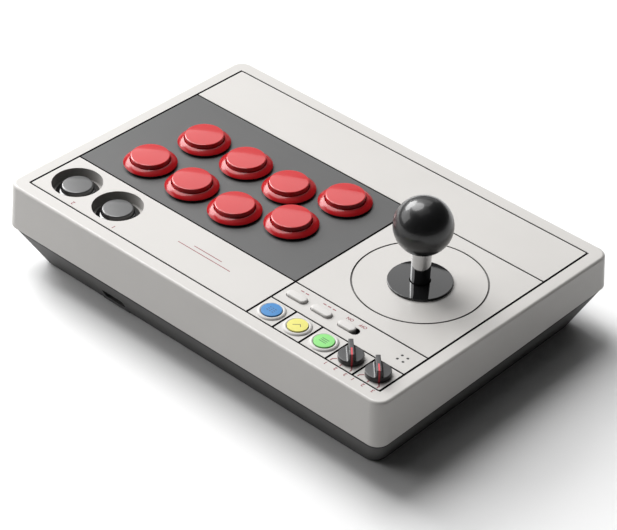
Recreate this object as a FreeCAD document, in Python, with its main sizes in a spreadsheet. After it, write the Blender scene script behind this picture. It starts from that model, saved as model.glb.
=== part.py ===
import FreeCAD, Part
import math
import os
import Sketcher

# Arcade stick, 1:1 in millimetres. The origin is the middle of the footprint on the table,
# +X is the player's right, +Y is the rear and +Z is up.
# What sits in the sloping top is drawn in the panel's own frame: the panel's middle, its face at zero.

SIZES = {
    # case
    "shell_width": 303.6, "shell_depth": 203.4, "side_lean": 1.35, "end_lean": 1.35,
    "panel_height": 54.4, "panel_shift": -1.1, "panel_tilt": 2.1, "split_height": 28.4,
    "shell_corner": 8.0, "shell_top_radius": 1.8, "shell_low_radius": 0.4, "shell_wall": 2.6, "shell_flange": 5.0,
    "ledge_width": 1.6, "base_top_inset": 1.2, "base_foot_inset": 14.4, "foot_height": 0.8,
    "shadow_gap": 0.9, "rim_step": 1.0, "base_wall": 3.0, "base_floor": 2.4, "base_corner": 8.0,
    "mat_thickness": 1.6, "mat_inset": 12.0, "mat_corner": 6.0, "mat_clearance": 0.2,
    "ballast_side_gap": 33.8, "ballast_end_gap": 45.7, "ballast_thickness": 2.5, "ballast_corner": 4.0,
    # case screws, their bosses in the shell and posts in the base
    "boss_side_inset": 20.8, "boss_front_inset": 29.7, "boss_radius": 4.0,
    "boss_bottom": 14.0, "boss_pilot": 1.3, "bracket_half": 6.0, "bracket_thickness": 4.0,
    "post_radius": 4.5, "post_shoulder": 3.0, "post_hole": 1.7, "post_counterbore": 3.2,
    "screw_radius": 1.2, "screw_length": 14.0, "screw_head_radius": 2.8, "screw_head_height": 2.2,
    "screw_recess": 1.2, "pilot_spare": 2.0,
    # face plate and its grid of grooves
    "rim_side": 9.4, "rim_end": 9.675, "groove_width": 1.1, "groove_depth": 1.2, "plate_thickness": 3.0,
    "plate_corner": 0.8, "inlay_thickness": 1.2, "ring_radius": 39.5,
    # main buttons
    "button_x": -50.375, "button_y": 11.5, "button_step": 33.1, "button_rise": 13.9,
    "button_pitch": 35.9, "row_shift_x": -7.0, "row_shift_y": -39.2, "hole_clearance": 0.15,
    "main_rim_radius": 16.6, "main_rim_edge": 1.6, "main_rim_height": 3.9, "main_rim_inner": 12.75,
    "main_rim_curve": 9.0, "main_rim_under": 15.8, "main_rim_break": 0.15, "main_crown": 0.35, "main_bore": 12.5, "main_barrel": 14.85, "main_barrel_depth": 18.0,
    "main_cap_top": 6.7, "main_cap_curve": 0.9, "main_skirt": 8.0, "main_travel": 3.0,
    "main_stem": 3.2,
    # function buttons in their wells
    "well_radius": 15.6, "well_depth": 7.4, "well_wall": 1.6, "well_floor": 2.0,
    "function_inset": 19.85, "function_pitch": 35.2,
    "fn_rim_radius": 13.4, "fn_rim_edge": 0.9, "fn_rim_height": 3.2, "fn_rim_inner": 10.15,
    "fn_rim_curve": 6.5, "fn_rim_under": 12.9, "fn_rim_break": 0.15, "fn_crown": 0.3, "fn_bore": 9.9, "fn_barrel": 11.85, "fn_barrel_depth": 16.0,
    "fn_cap_top": 6.1, "fn_cap_curve": 0.9, "fn_skirt": 6.0, "fn_travel": 2.6, "fn_stem": 2.6,
    "cap_clearance": 0.35, "cap_wall": 1.8, "housing_floor": 1.6, "housing_bottom_clearance": 0.4,
    "snap_width": 6.0, "snap_proud": 1.0, "snap_height": 5.0, "snap_root": 0.8,
    # micro switches below the buttons
    "switch_length": 19.8, "switch_width": 6.4, "switch_height": 9.6, "switch_nub": 1.3,
    "switch_nub_height": 0.5, "switch_nub_gap": 0.25,
    # round coloured buttons
    "bezel_radius": 8.6, "bezel_height": 1.1, "bezel_inner": 6.4, "bezel_crest": 7.1,
    "bezel_curve": 1.9, "bezel_barrel": 7.5, "bezel_depth": 4.2, "round_cap_top": 1.5,
    "round_cap_curve": 0.3, "small_bottom": 4.6, "small_travel": 0.8,
    # pill buttons and slide switch
    "pill_row_shift": 0.55, "start_shift": -1.225, "select_shift": -0.075, "pill_length": 14.4, "pill_width": 5.6,
    "pill_corner": 2.7, "pill_top": 1.7, "pill_edge": 0.8, "pill_clearance": 0.35,
    "flange_proud": 0.6, "flange_gap": 0.35,
    "slide_shift": 0.775, "slider_length": 12.0, "slider_top": 1.5, "slide_travel": 2.5,
    # rotary knobs
    "knob_radius": 7.45, "knob_base_height": 3.3, "knob_lift": 0.3, "blade_width": 2.8,
    "blade_top": 8.4, "knob_turn": 45.0, "knob_shaft": 3.0, "knob_edge": 0.4, "blade_edge": 0.35,
    # indicator lights
    "light_pitch": 4.1, "light_radius": 0.75, "light_gap": 0.1, "light_block": 8.0,
    "light_block_height": 2.2,
    # control board below the small controls
    "board_drop": 10.6, "board_thickness": 1.6, "board_side_gap": 3.05, "board_reach": 4.8,
    "board_front_gap": 3.125, "board_rear_gap": 2.175, "board_post": 2.4, "board_post_inset": 4.0,
    "tact_size": 6.0, "tact_gap": 0.3, "slide_body_length": 16.0, "slide_body_width": 6.6,
    "rotary_size": 12.0, "board_corner": 1.5,
    # joystick
    "ball_radius": 17.5, "ball_height": 39.3, "ball_flat": 8.6, "shaft_radius": 3.0,
    "cover_radius": 5.8, "cover_bottom": 2.5, "sleeve_gap": 0.05, "ball_socket": 14.0,
    "washer_radius": 19.1, "washer_thickness": 1.4, "washer_hole": 6.3, "washer_edge": 0.35,
    "slip_ring_radius": 10.3, "slip_ring_hole": 7.5, "slip_ring_top": 0.3, "slip_ring_thickness": 0.9,
    "neck_radius": 11.6, "neck_gap": 0.1, "panel_hole": 12.0, "pivot_depth": 8.0, "pivot_radius": 8.0, "pivot_half": 3.6,
    "pivot_gap": 0.25, "pivot_waist": 3.35, "pivot_mouth": 4.15,
    "mount_side_gap": 2.875, "mount_width": 53.0, "mount_thickness": 1.6, "mount_corner": 3.0,
    "mount_screw_inset": 6.5, "mount_screw_y": 20.0, "mount_screw_radius": 1.25,
    "mount_screw_hole": 1.7, "mount_screw_head": 3.0, "mount_screw_head_height": 2.0,
    "mount_screw_bite": 1.9, "mount_pilot_depth": 2.1, "mount_pilot": 1.3,
    "stick_body_size": 58.0, "stick_body_corner": 4.0, "stick_body_depth": 21.4,
    "stick_cavity": 15.0, "stick_neck": 4.5,
    "stick_board_thickness": 1.6, "stick_switch_height": 3.4, "stick_switch_length": 16.0,
    "stick_switch_width": 6.4, "stick_switch_reach": 10.2, "gate_thickness": 3.0,
    "gate_half": 10.3, "gate_corner": 3.0,
    "spring_radius": 5.4, "spring_wire": 0.6, "spring_top": 13.4, "spring_bottom": 22.6,
    "spring_turns": 4.0, "actuator_radius": 6.5, "actuator_top": 23.3, "actuator_bottom": 33.0,
    "clip_radius": 5.0, "clip_thickness": 0.8, "shaft_tail": 1.2,
    # wired socket in the rear of the base
    "port_x": 70.0, "port_half_width": 9.0, "port_low": 4.6, "port_high": 11.4, "port_corner": 2.4,
    "port_depth": 16.2, "port_block_margin": 2.4, "port_block_depth": 3.0,
    "socket_width": 8.9, "socket_height": 3.2, "socket_corner": 1.5, "socket_wall": 0.3,
    "socket_length": 7.4, "socket_gap": 0.05, "tongue_width": 6.6, "tongue_height": 0.7,
    "socket_board_width": 30.0, "socket_board_depth": 12.0, "socket_board_post": 2.0,
    # battery
    "battery_length": 52.0, "battery_width": 34.0, "battery_height": 7.0, "battery_x": 30.0,
    "battery_corner": 3.0,
}

# Sizes that follow from the ones above.
DERIVED = {
    "top_width": "=shell_width - 2 * side_lean", "top_depth": "=shell_depth - 2 * end_lean",
    "column_pitch": "=(top_width - 2 * rim_side) / 14", "row_pitch": "=(top_depth - 2 * rim_end) / 9",
    "port_back_y": "=shell_depth / 2 - port_depth",
}

doc = FreeCAD.newDocument("arcade_stick")
sheet = doc.addObject("Spreadsheet::Sheet", "sizes")
sheet.Label = "driving dimensions"
for row, (alias, number) in enumerate({**SIZES, **DERIVED}.items(), start=1):
    sheet.set("A%d" % row, alias)
    sheet.set("B%d" % row, str(number))
    sheet.setAlias("B%d" % row, alias)
doc.recompute()

TILT = "(sizes.panel_tilt * 1 deg)"
subparts = []


def value(holder, expression):
    """Number that an expression gives, in millimetres or degrees."""
    result = holder.evalExpression(expression)
    return float(getattr(result, "Value", result))


def panel_y(y, z):
    """Place along the panel's slope of the case point (y, z)."""
    return f"((({y}) - sizes.panel_shift) * cos{TILT} + (({z}) - sizes.panel_height) * sin{TILT})"


def panel_z(y, z):
    """Place across the panel's face of the case point (y, z)."""
    return f"((({z}) - sizes.panel_height) * cos{TILT} - (({y}) - sizes.panel_shift) * sin{TILT})"


def new_body(label):
    body = doc.addObject("PartDesign::Body", label)
    body.Label = label
    subparts.append(body)
    return body


def on_panel(item, x="0", y="0", z="0"):
    """Place a piece in the panel's frame, at x, y along the panel and z above it."""
    axis = FreeCAD.Vector(1, 0, 0)
    item.Placement = FreeCAD.Placement(FreeCAD.Vector(), FreeCAD.Rotation(axis, SIZES["panel_tilt"]))
    item.setExpression("Placement.Rotation.Angle", TILT)
    item.setExpression("Placement.Base.x", x)
    item.setExpression("Placement.Base.y", f"sizes.panel_shift + ({y}) * cos{TILT} - ({z}) * sin{TILT}")
    item.setExpression("Placement.Base.z", f"sizes.panel_height + ({y}) * sin{TILT} + ({z}) * cos{TILT}")


def new_sketch(body, role, name, lift="0"):
    """Sketch on one of the body's own origin planes, lifted along the plane's normal."""
    sketch = body.newObject("Sketcher::SketchObject", body.Name + "_" + name)
    plane = [item for item in body.Origin.OriginFeatures if item.Role == role][0]
    sketch.AttachmentSupport = [(plane, "")]
    sketch.MapMode = "FlatFace"
    if lift != "0":
        sketch.setExpression("AttachmentOffset.Base.z", lift)
    return sketch


def pin(sketch, geometry, position, x, y):
    """Hold a point of the sketch at x, y from its origin."""
    for kind, expression, axis in (("DistanceX", x, -2), ("DistanceY", y, -1)):
        if expression == "0":
            sketch.addConstraint(Sketcher.Constraint("PointOnObject", geometry, position, axis))
        else:
            number = value(sketch, expression)
            rule = Sketcher.Constraint(kind, -1, 1, geometry, position, number)
            index = sketch.addConstraint(rule)
            sketch.setExpression(f"Constraints[{index}]", expression)


def arc_between(start, end, radius, side):
    """Arc from start to end, its centre on the left of the way for side 1, on the right for -1."""
    chord = end - start
    middle = (start + end) * 0.5
    left = FreeCAD.Vector(-chord.y, chord.x, 0).normalize()
    reach = math.sqrt(max(radius ** 2 - (chord.Length / 2) ** 2, 0))
    centre = middle + left * (reach * side)
    crest = centre - left * (radius * side)
    return Part.Arc(start, crest, end)


def outline(sketch, corners):
    """Closed outline through corners; a corner with a radius and a side is reached by an arc."""
    points = [FreeCAD.Vector(value(sketch, corner[0]), value(sketch, corner[1]), 0) for corner in corners]
    ends = []
    for number, corner in enumerate(corners):
        start = points[number - 1]
        end = points[number]
        if len(corner) == 2:
            edge = Part.LineSegment(start, end)
        else:
            edge = arc_between(start, end, value(sketch, corner[2]), corner[3])
        geometry = sketch.addGeometry(edge, False)
        first = 1
        if sketch.getPoint(geometry, 1).distanceToPoint(start) > sketch.getPoint(geometry, 2).distanceToPoint(start):
            first = 2
        ends.append((geometry, first, 3 - first))
        if len(corner) > 2:
            index = sketch.addConstraint(Sketcher.Constraint("Radius", geometry, value(sketch, corner[2])))
            sketch.setExpression(f"Constraints[{index}]", corner[2])
    for number, corner in enumerate(corners):
        geometry, _, last = ends[number]
        following, first, _ = ends[(number + 1) % len(corners)]
        sketch.addConstraint(Sketcher.Constraint("Coincident", geometry, last, following, first))
        pin(sketch, geometry, last, corner[0], corner[1])


def rectangle(sketch, left, front, right, rear, radius=None):
    """Rectangle between four expressions, its corners rounded where a radius is given."""
    if radius is None:
        outline(sketch, [(left, front), (right, front), (right, rear), (left, rear)])
        return
    outline(sketch, [
        (f"{left} + {radius}", front), (f"{right} - {radius}", front),
        (right, f"{front} + {radius}", radius, 1), (right, f"{rear} - {radius}"),
        (f"{right} - {radius}", rear, radius, 1), (f"{left} + {radius}", rear),
        (left, f"{rear} - {radius}", radius, 1), (left, f"{front} + {radius}"),
        (f"{left} + {radius}", front, radius, 1)][1:])


def middle_rectangle(sketch, x, y, width, depth, radius=None):
    """Rectangle of a width and depth about a middle point."""
    rectangle(sketch, f"{x} - ({width}) / 2", f"{y} - ({depth}) / 2",
              f"{x} + ({width}) / 2", f"{y} + ({depth}) / 2", radius)


def circle(sketch, x, y, radius):
    middle = FreeCAD.Vector(value(sketch, x), value(sketch, y), 0)
    size = value(sketch, radius)
    geometry = sketch.addGeometry(Part.Circle(middle, FreeCAD.Vector(0, 0, 1), size), False)
    if x == "0" and y == "0":
        sketch.addConstraint(Sketcher.Constraint("Coincident", geometry, 3, -1, 1))
    else:
        pin(sketch, geometry, 3, x, y)
    index = sketch.addConstraint(Sketcher.Constraint("Radius", geometry, size))
    sketch.setExpression(f"Constraints[{index}]", radius)


def feature(body, kind, sketch, length=None, backwards=False, both_ways=False):
    """Pad or pocket of a sketch; without a length it goes through everything."""
    made = body.newObject("PartDesign::" + kind, sketch.Name + "_" + kind.lower())
    made.Profile = sketch
    if both_ways:
        made.SideType = "Symmetric"
    if length is None:
        made.Type = "ThroughAll"
    else:
        made.setExpression("Length", length)
    made.Reversed = backwards
    return made


def turned(body, name, corners, kind="Revolution"):
    """Solid or groove of revolution about the body's Z axis, from a half section (radius, height)."""
    sketch = new_sketch(body, "XZ_Plane", name)
    outline(sketch, corners)
    made = body.newObject("PartDesign::" + kind, sketch.Name + "_turn")
    made.Profile = sketch
    made.ReferenceAxis = (sketch, ["V_Axis"])
    made.Angle = 360
    return made


def rounded_edges(body, base, chosen, radius, kind="Fillet"):
    """Round or break the edges of a feature that the test chooses."""
    doc.recompute()
    names = ["Edge%d" % (number + 1) for number, edge in enumerate(base.Shape.Edges) if chosen(edge)]
    made = body.newObject("PartDesign::" + kind, base.Name + "_" + kind.lower())
    made.Base = (base, names)
    made.setExpression("Radius" if kind == "Fillet" else "Size", radius)
    return made


def is_upright(edge):
    """True for a straight edge that runs mostly along Z."""
    if len(edge.Vertexes) < 2:
        return False
    run = edge.Vertexes[1].Point - edge.Vertexes[0].Point
    return edge.Length > 1 and abs(run.z) > 0.8 * edge.Length


def lies_at(height):
    """Test for edges whose whole length lies at one height."""
    return lambda edge: (abs(edge.BoundBox.ZMin - height) < 1e-4 and abs(edge.BoundBox.ZMax - height) < 1e-4)


# Places on the panel that several pieces share.
STICK = ("-4.5 * sizes.column_pitch", "0")
CELL_Y = "4 * sizes.row_pitch"
ROUND_CELLS = {"blue": "-2.5", "yellow": "-3.5", "green": "-4.5"}
KNOB_CELLS = {"left": "-6.5", "right": "-5.5"}
LIGHTS = ("-6.5 * sizes.column_pitch", "3 * sizes.row_pitch")
PILL_Y = "(3 * sizes.row_pitch + sizes.pill_row_shift)"
PILLS = {"start": "(-2.5 * sizes.column_pitch + sizes.start_shift)",
         "select": "(-3.5 * sizes.column_pitch + sizes.select_shift)"}
SLIDER_X = "(-4.5 * sizes.column_pitch + sizes.slide_shift)"
SLOT_X = f"({SLIDER_X} - sizes.slide_travel / 2)"
SLOT_LENGTH = "(sizes.slider_length + sizes.slide_travel + 2 * sizes.pill_clearance)"
MOUNT_HALF = "(2.5 * sizes.column_pitch - sizes.mount_side_gap)"
MOUNT_SCREW_X = f"({MOUNT_HALF} - sizes.mount_screw_inset)"
BOARD_LEFT = "(-7 * sizes.column_pitch + sizes.board_side_gap)"
BOARD_RIGHT = "(-2 * sizes.column_pitch + sizes.board_reach)"
BOARD_FRONT = "(2.5 * sizes.row_pitch + sizes.board_front_gap)"
BOARD_REAR = "(4.5 * sizes.row_pitch - sizes.board_rear_gap)"
BOSS_X = "(sizes.shell_width / 2 - sizes.boss_side_inset)"
BOSS_ROWS = {"front": "(sizes.boss_front_inset - sizes.shell_depth / 2)", "rear": "(2 * sizes.row_pitch)"}
BOSSES = [(side, row) for side in ("-" + BOSS_X, BOSS_X) for row in BOSS_ROWS.values()]


def main_button_places():
    """Centres of the two rows of four buttons, the first of each row set lower."""
    places = []
    for shift_x, shift_y in (("0", "0"), ("sizes.row_shift_x", "sizes.row_shift_y")):
        for number in range(4):
            run = "0"
            rise = "0"
            if number:
                run = f"(sizes.button_step + {number - 1} * sizes.button_pitch)"
                rise = "sizes.button_rise"
            places.append((f"2.5 * sizes.column_pitch + sizes.button_x + {run} + {shift_x}",
                           f"sizes.button_y + {rise} + {shift_y}"))
    return places


MAIN_BUTTONS = main_button_places()
FUNCTION_BUTTONS = [("7 * sizes.column_pitch - sizes.function_inset - sizes.function_pitch", "3.5 * sizes.row_pitch"),
                    ("7 * sizes.column_pitch - sizes.function_inset", "3.5 * sizes.row_pitch")]


def table_sketch(body, name):
    """Sketch level with the table inside a body of the panel's frame, at the bosses' lower end."""
    sketch = new_sketch(body, "XY_Plane", name)
    turn = FreeCAD.Rotation(FreeCAD.Vector(-1, 0, 0), SIZES["panel_tilt"])
    sketch.AttachmentOffset = FreeCAD.Placement(FreeCAD.Vector(), turn)
    sketch.setExpression("AttachmentOffset.Rotation.Angle", TILT)
    sketch.setExpression("AttachmentOffset.Base.y", panel_y("0", "sizes.boss_bottom"))
    sketch.setExpression("AttachmentOffset.Base.z", panel_z("0", "sizes.boss_bottom"))
    return sketch


def make_top_shell():
    """Light grey upper half: sloping top frame, drafted walls, ledge for the plate, screw bosses."""
    body = new_body("top_shell")
    on_panel(body)
    low = "sizes.split_height"
    front = "-sizes.shell_depth / 2"
    rear = "sizes.shell_depth / 2"
    section = new_sketch(body, "YZ_Plane", "section")
    outline(section, [("-sizes.top_depth / 2", "0"), (panel_y(front, low), panel_z(front, low)),
                      (panel_y(rear, low), panel_z(rear, low)), ("sizes.top_depth / 2", "0")])
    feature(body, "Pad", section, "sizes.shell_width", both_ways=True)

    # Both side walls lean in from the widest line, which is the lower rear edge, to the top.
    spread = "(sizes.shell_width - sizes.top_width) / 2"
    drop = f"(-{panel_z(rear, low)})"
    sides = new_sketch(body, "XZ_Plane", "sides")
    for sign in ("", "-"):
        outline(sides, [(f"{sign}(sizes.top_width / 2 - 0.2 * {spread})", f"0.2 * {drop}"),
                        (f"{sign}(sizes.shell_width / 2 + 0.2 * {spread})", f"-1.2 * {drop}"),
                        (f"{sign}(sizes.shell_width / 2 + 0.2 * {spread})", f"0.2 * {drop}")])
    leaned = feature(body, "Pocket", sides, both_ways=True)
    corners = rounded_edges(body, leaned, is_upright, "sizes.shell_corner")
    doc.recompute()
    softened = rounded_edges(body, corners, lies_at(0), "sizes.shell_top_radius")
    split = value(body, "sizes.split_height")
    rounded_edges(body, softened, lambda edge: all(
        abs(body.Placement.multVec(vertex.Point).z - split) < 1e-3 for vertex in edge.Vertexes), "sizes.shell_low_radius")

    inner_low = "(sizes.split_height - 2)"
    inner_front = "(sizes.shell_wall - sizes.shell_depth / 2)"
    inner_rear = "(sizes.shell_depth / 2 - sizes.shell_wall)"
    hollow = new_sketch(body, "YZ_Plane", "hollow")
    outline(hollow, [("sizes.shell_wall - sizes.top_depth / 2", "-sizes.shell_flange"),
                     (panel_y(inner_front, inner_low), panel_z(inner_front, inner_low)),
                     (panel_y(inner_rear, inner_low), panel_z(inner_rear, inner_low)),
                     ("sizes.top_depth / 2 - sizes.shell_wall", "-sizes.shell_flange")])
    emptied = feature(body, "Pocket", hollow, "sizes.top_width - 2 * sizes.shell_wall", both_ways=True)
    inner_x = value(body, "sizes.top_width / 2 - sizes.shell_wall")
    rounded_edges(body, emptied, lambda edge: is_upright(edge) and abs(edge.BoundBox.XMax) < inner_x + 0.01
                  and abs(edge.BoundBox.XMin) < inner_x + 0.01, "sizes.shell_corner - sizes.shell_wall")

    seat = new_sketch(body, "XY_Plane", "plate_seat")
    middle_rectangle(seat, "0", "0", "14 * sizes.column_pitch + sizes.groove_width",
                     "9 * sizes.row_pitch + sizes.groove_width", "(sizes.plate_corner + sizes.groove_width)")
    feature(body, "Pocket", seat, "sizes.plate_thickness")
    window = new_sketch(body, "XY_Plane", "window")
    window_width = "(14 * sizes.column_pitch - sizes.groove_width - 2 * sizes.ledge_width)"
    window_depth = "(9 * sizes.row_pitch - sizes.groove_width - 2 * sizes.ledge_width)"
    middle_rectangle(window, "0", "0", window_width, window_depth)
    feature(body, "Pocket", window, "sizes.shell_flange + 0.1 * sizes.shell_flange")

    # Brackets under the plate carry the four screw bosses, which stand square to the table.
    brackets = new_sketch(body, "XY_Plane", "brackets", "-sizes.plate_thickness")
    for side, row in BOSSES:
        sign = "-" if side.startswith("-") else ""
        near = f"{sign}({BOSS_X} - sizes.bracket_half)"
        far = f"{sign}(sizes.top_width / 2 - sizes.shell_wall / 2)"
        left, right = (far, near) if sign else (near, far)
        middle = panel_y(row, "sizes.panel_height")
        rectangle(brackets, left, f"{middle} - sizes.bracket_half", right, f"{middle} + sizes.bracket_half")
    feature(body, "Pad", brackets, "sizes.bracket_thickness", backwards=True)
    for end, row in BOSS_ROWS.items():
        bosses = table_sketch(body, "bosses_" + end)
        pilots = table_sketch(body, "pilots_" + end)
        for side in ("-" + BOSS_X, BOSS_X):
            circle(bosses, side, row, "sizes.boss_radius")
            circle(pilots, side, row, "sizes.boss_pilot")
        height = (f"(sizes.panel_height - sizes.boss_bottom + ({row} - sizes.panel_shift) * tan{TILT}"
                  " - sizes.plate_thickness - sizes.bracket_thickness / 2)")
        feature(body, "Pad", bosses, height)
        depth = "sizes.screw_length - sizes.post_shoulder + sizes.pilot_spare"
        feature(body, "Pocket", pilots, depth, backwards=True)


def make_face_plate():
    """Light grey plate in the shell's top, with its moulded grooves, wells and holes."""
    body = new_body("face_plate")
    on_panel(body)
    column = "sizes.column_pitch"
    row = "sizes.row_pitch"
    blank = new_sketch(body, "XY_Plane", "blank")
    middle_rectangle(blank, "0", "0", f"14 * {column} - sizes.groove_width",
                     f"9 * {row} - sizes.groove_width", "sizes.plate_corner")
    feature(body, "Pad", blank, "sizes.plate_thickness", backwards=True)

    cups = new_sketch(body, "XY_Plane", "cups", "-sizes.plate_thickness / 2")
    posts = new_sketch(body, "XY_Plane", "posts", "-sizes.plate_thickness / 2")
    wells = new_sketch(body, "XY_Plane", "wells")
    holes = new_sketch(body, "XY_Plane", "holes")
    for x, y in FUNCTION_BUTTONS:
        circle(cups, x, y, "sizes.well_radius + sizes.well_wall")
        circle(wells, x, y, "sizes.well_radius")
        circle(holes, x, y, "sizes.fn_barrel + sizes.hole_clearance")
    cup_depth = "(sizes.well_depth + sizes.well_floor)"
    feature(body, "Pad", cups, f"{cup_depth} - sizes.plate_thickness / 2", backwards=True)
    for x in (f"-5.7 * {column}", f"({BOARD_RIGHT} - sizes.board_post_inset)"):
        circle(posts, x, f"{BOARD_FRONT} + sizes.board_post_inset", "sizes.board_post")
    for x in (f"-3 * {column}", f"-5 * {column}"):
        circle(posts, x, f"{BOARD_REAR} - sizes.board_post_inset", "sizes.board_post")
    feature(body, "Pad", posts, "sizes.board_drop - sizes.plate_thickness / 2", backwards=True)
    feature(body, "Pocket", wells, "sizes.well_depth")

    for x, y in MAIN_BUTTONS:
        circle(holes, x, y, "sizes.main_barrel + sizes.hole_clearance")
    circle(holes, STICK[0], STICK[1], "sizes.panel_hole")
    for cell in ROUND_CELLS.values():
        circle(holes, f"{cell} * {column}", CELL_Y, "sizes.bezel_barrel + sizes.hole_clearance")
    for cell in KNOB_CELLS.values():
        circle(holes, f"{cell} * {column}", CELL_Y, "sizes.knob_shaft + sizes.pill_clearance")
    for across in ("-", "+"):
        for along in ("-", "+"):
            circle(holes, f"{LIGHTS[0]} {across} sizes.light_pitch / 2",
                   f"{LIGHTS[1]} {along} sizes.light_pitch / 2", "sizes.light_radius + sizes.light_gap")
    for x in PILLS.values():
        middle_rectangle(holes, x, PILL_Y, "sizes.pill_length + 2 * sizes.pill_clearance",
                         "sizes.pill_width + 2 * sizes.pill_clearance", "(sizes.pill_corner + sizes.pill_clearance)")
    middle_rectangle(holes, SLOT_X, PILL_Y, SLOT_LENGTH,
                     "sizes.pill_width + 2 * sizes.pill_clearance", "(sizes.pill_corner + sizes.pill_clearance)")
    feature(body, "Pocket", holes, f"1.1 * {cup_depth}")

    half = "sizes.groove_width / 2"
    inlay = new_sketch(body, "XY_Plane", "inlay_recess")
    rectangle(inlay, f"-2 * {column} - {half}", f"-2.5 * {row} - {half}", f"7.2 * {column}",
              f"2.5 * {row} + {half}")
    feature(body, "Pocket", inlay, "sizes.inlay_thickness")

    # The grid's lines, each cut as one straight groove.
    lines = [("-7.2", "-2.5", "-2", "-2.5"), ("-7.2", "2.5", "-2", "2.5"), ("-7.2", "3.5", "-2", "3.5"),
             ("-2", "2.5", "-2", "4.7")]
    lines += [(f"{-cell}", "3.5", f"{-cell}", "4.7") for cell in (3, 4, 5, 6)]
    for number, (left, front, right, rear) in enumerate(lines):
        groove = new_sketch(body, "XY_Plane", "groove_%d" % number)
        rectangle(groove, f"{left} * {column} - {half}", f"{front} * {row} - {half}",
                  f"{right} * {column} + {half}", f"{rear} * {row} + {half}")
        feature(body, "Pocket", groove, "sizes.groove_depth")
    ring = new_sketch(body, "XY_Plane", "ring")
    circle(ring, STICK[0], STICK[1], f"sizes.ring_radius + {half}")
    circle(ring, STICK[0], STICK[1], f"sizes.ring_radius - {half}")
    feature(body, "Pocket", ring, "sizes.groove_depth")

    pilots = new_sketch(body, "XY_Plane", "pilots", "-sizes.plate_thickness")
    for across in ("-", "+"):
        for along in ("-", "+"):
            circle(pilots, f"{STICK[0]} {across} {MOUNT_SCREW_X}", f"{along}sizes.mount_screw_y",
                   "sizes.mount_pilot")
    feature(body, "Pocket", pilots, "sizes.mount_pilot_depth", backwards=True)


def make_button_panel():
    """Dark grey inlay that the eight main buttons pass through."""
    body = new_body("button_panel")
    on_panel(body)
    column = "sizes.column_pitch"
    row = "sizes.row_pitch"
    half = "sizes.groove_width / 2"
    blank = new_sketch(body, "XY_Plane", "blank")
    rectangle(blank, f"-2 * {column} + {half}", f"-2.5 * {row} + {half}", f"7 * {column} - {half}",
              f"2.5 * {row} - {half}")
    feature(body, "Pad", blank, "sizes.inlay_thickness", backwards=True)
    holes = new_sketch(body, "XY_Plane", "holes")
    for x, y in MAIN_BUTTONS:
        circle(holes, x, y, "sizes.main_barrel + sizes.hole_clearance")
    feature(body, "Pocket", holes, "1.5 * sizes.inlay_thickness")


def base_rectangle(sketch, inset, radius=None):
    """Rectangle of the case's outline, drawn in by an inset."""
    middle_rectangle(sketch, "0", "0", f"sizes.shell_width - 2 * ({inset})",
                     f"sizes.shell_depth - 2 * ({inset})", radius)


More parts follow.
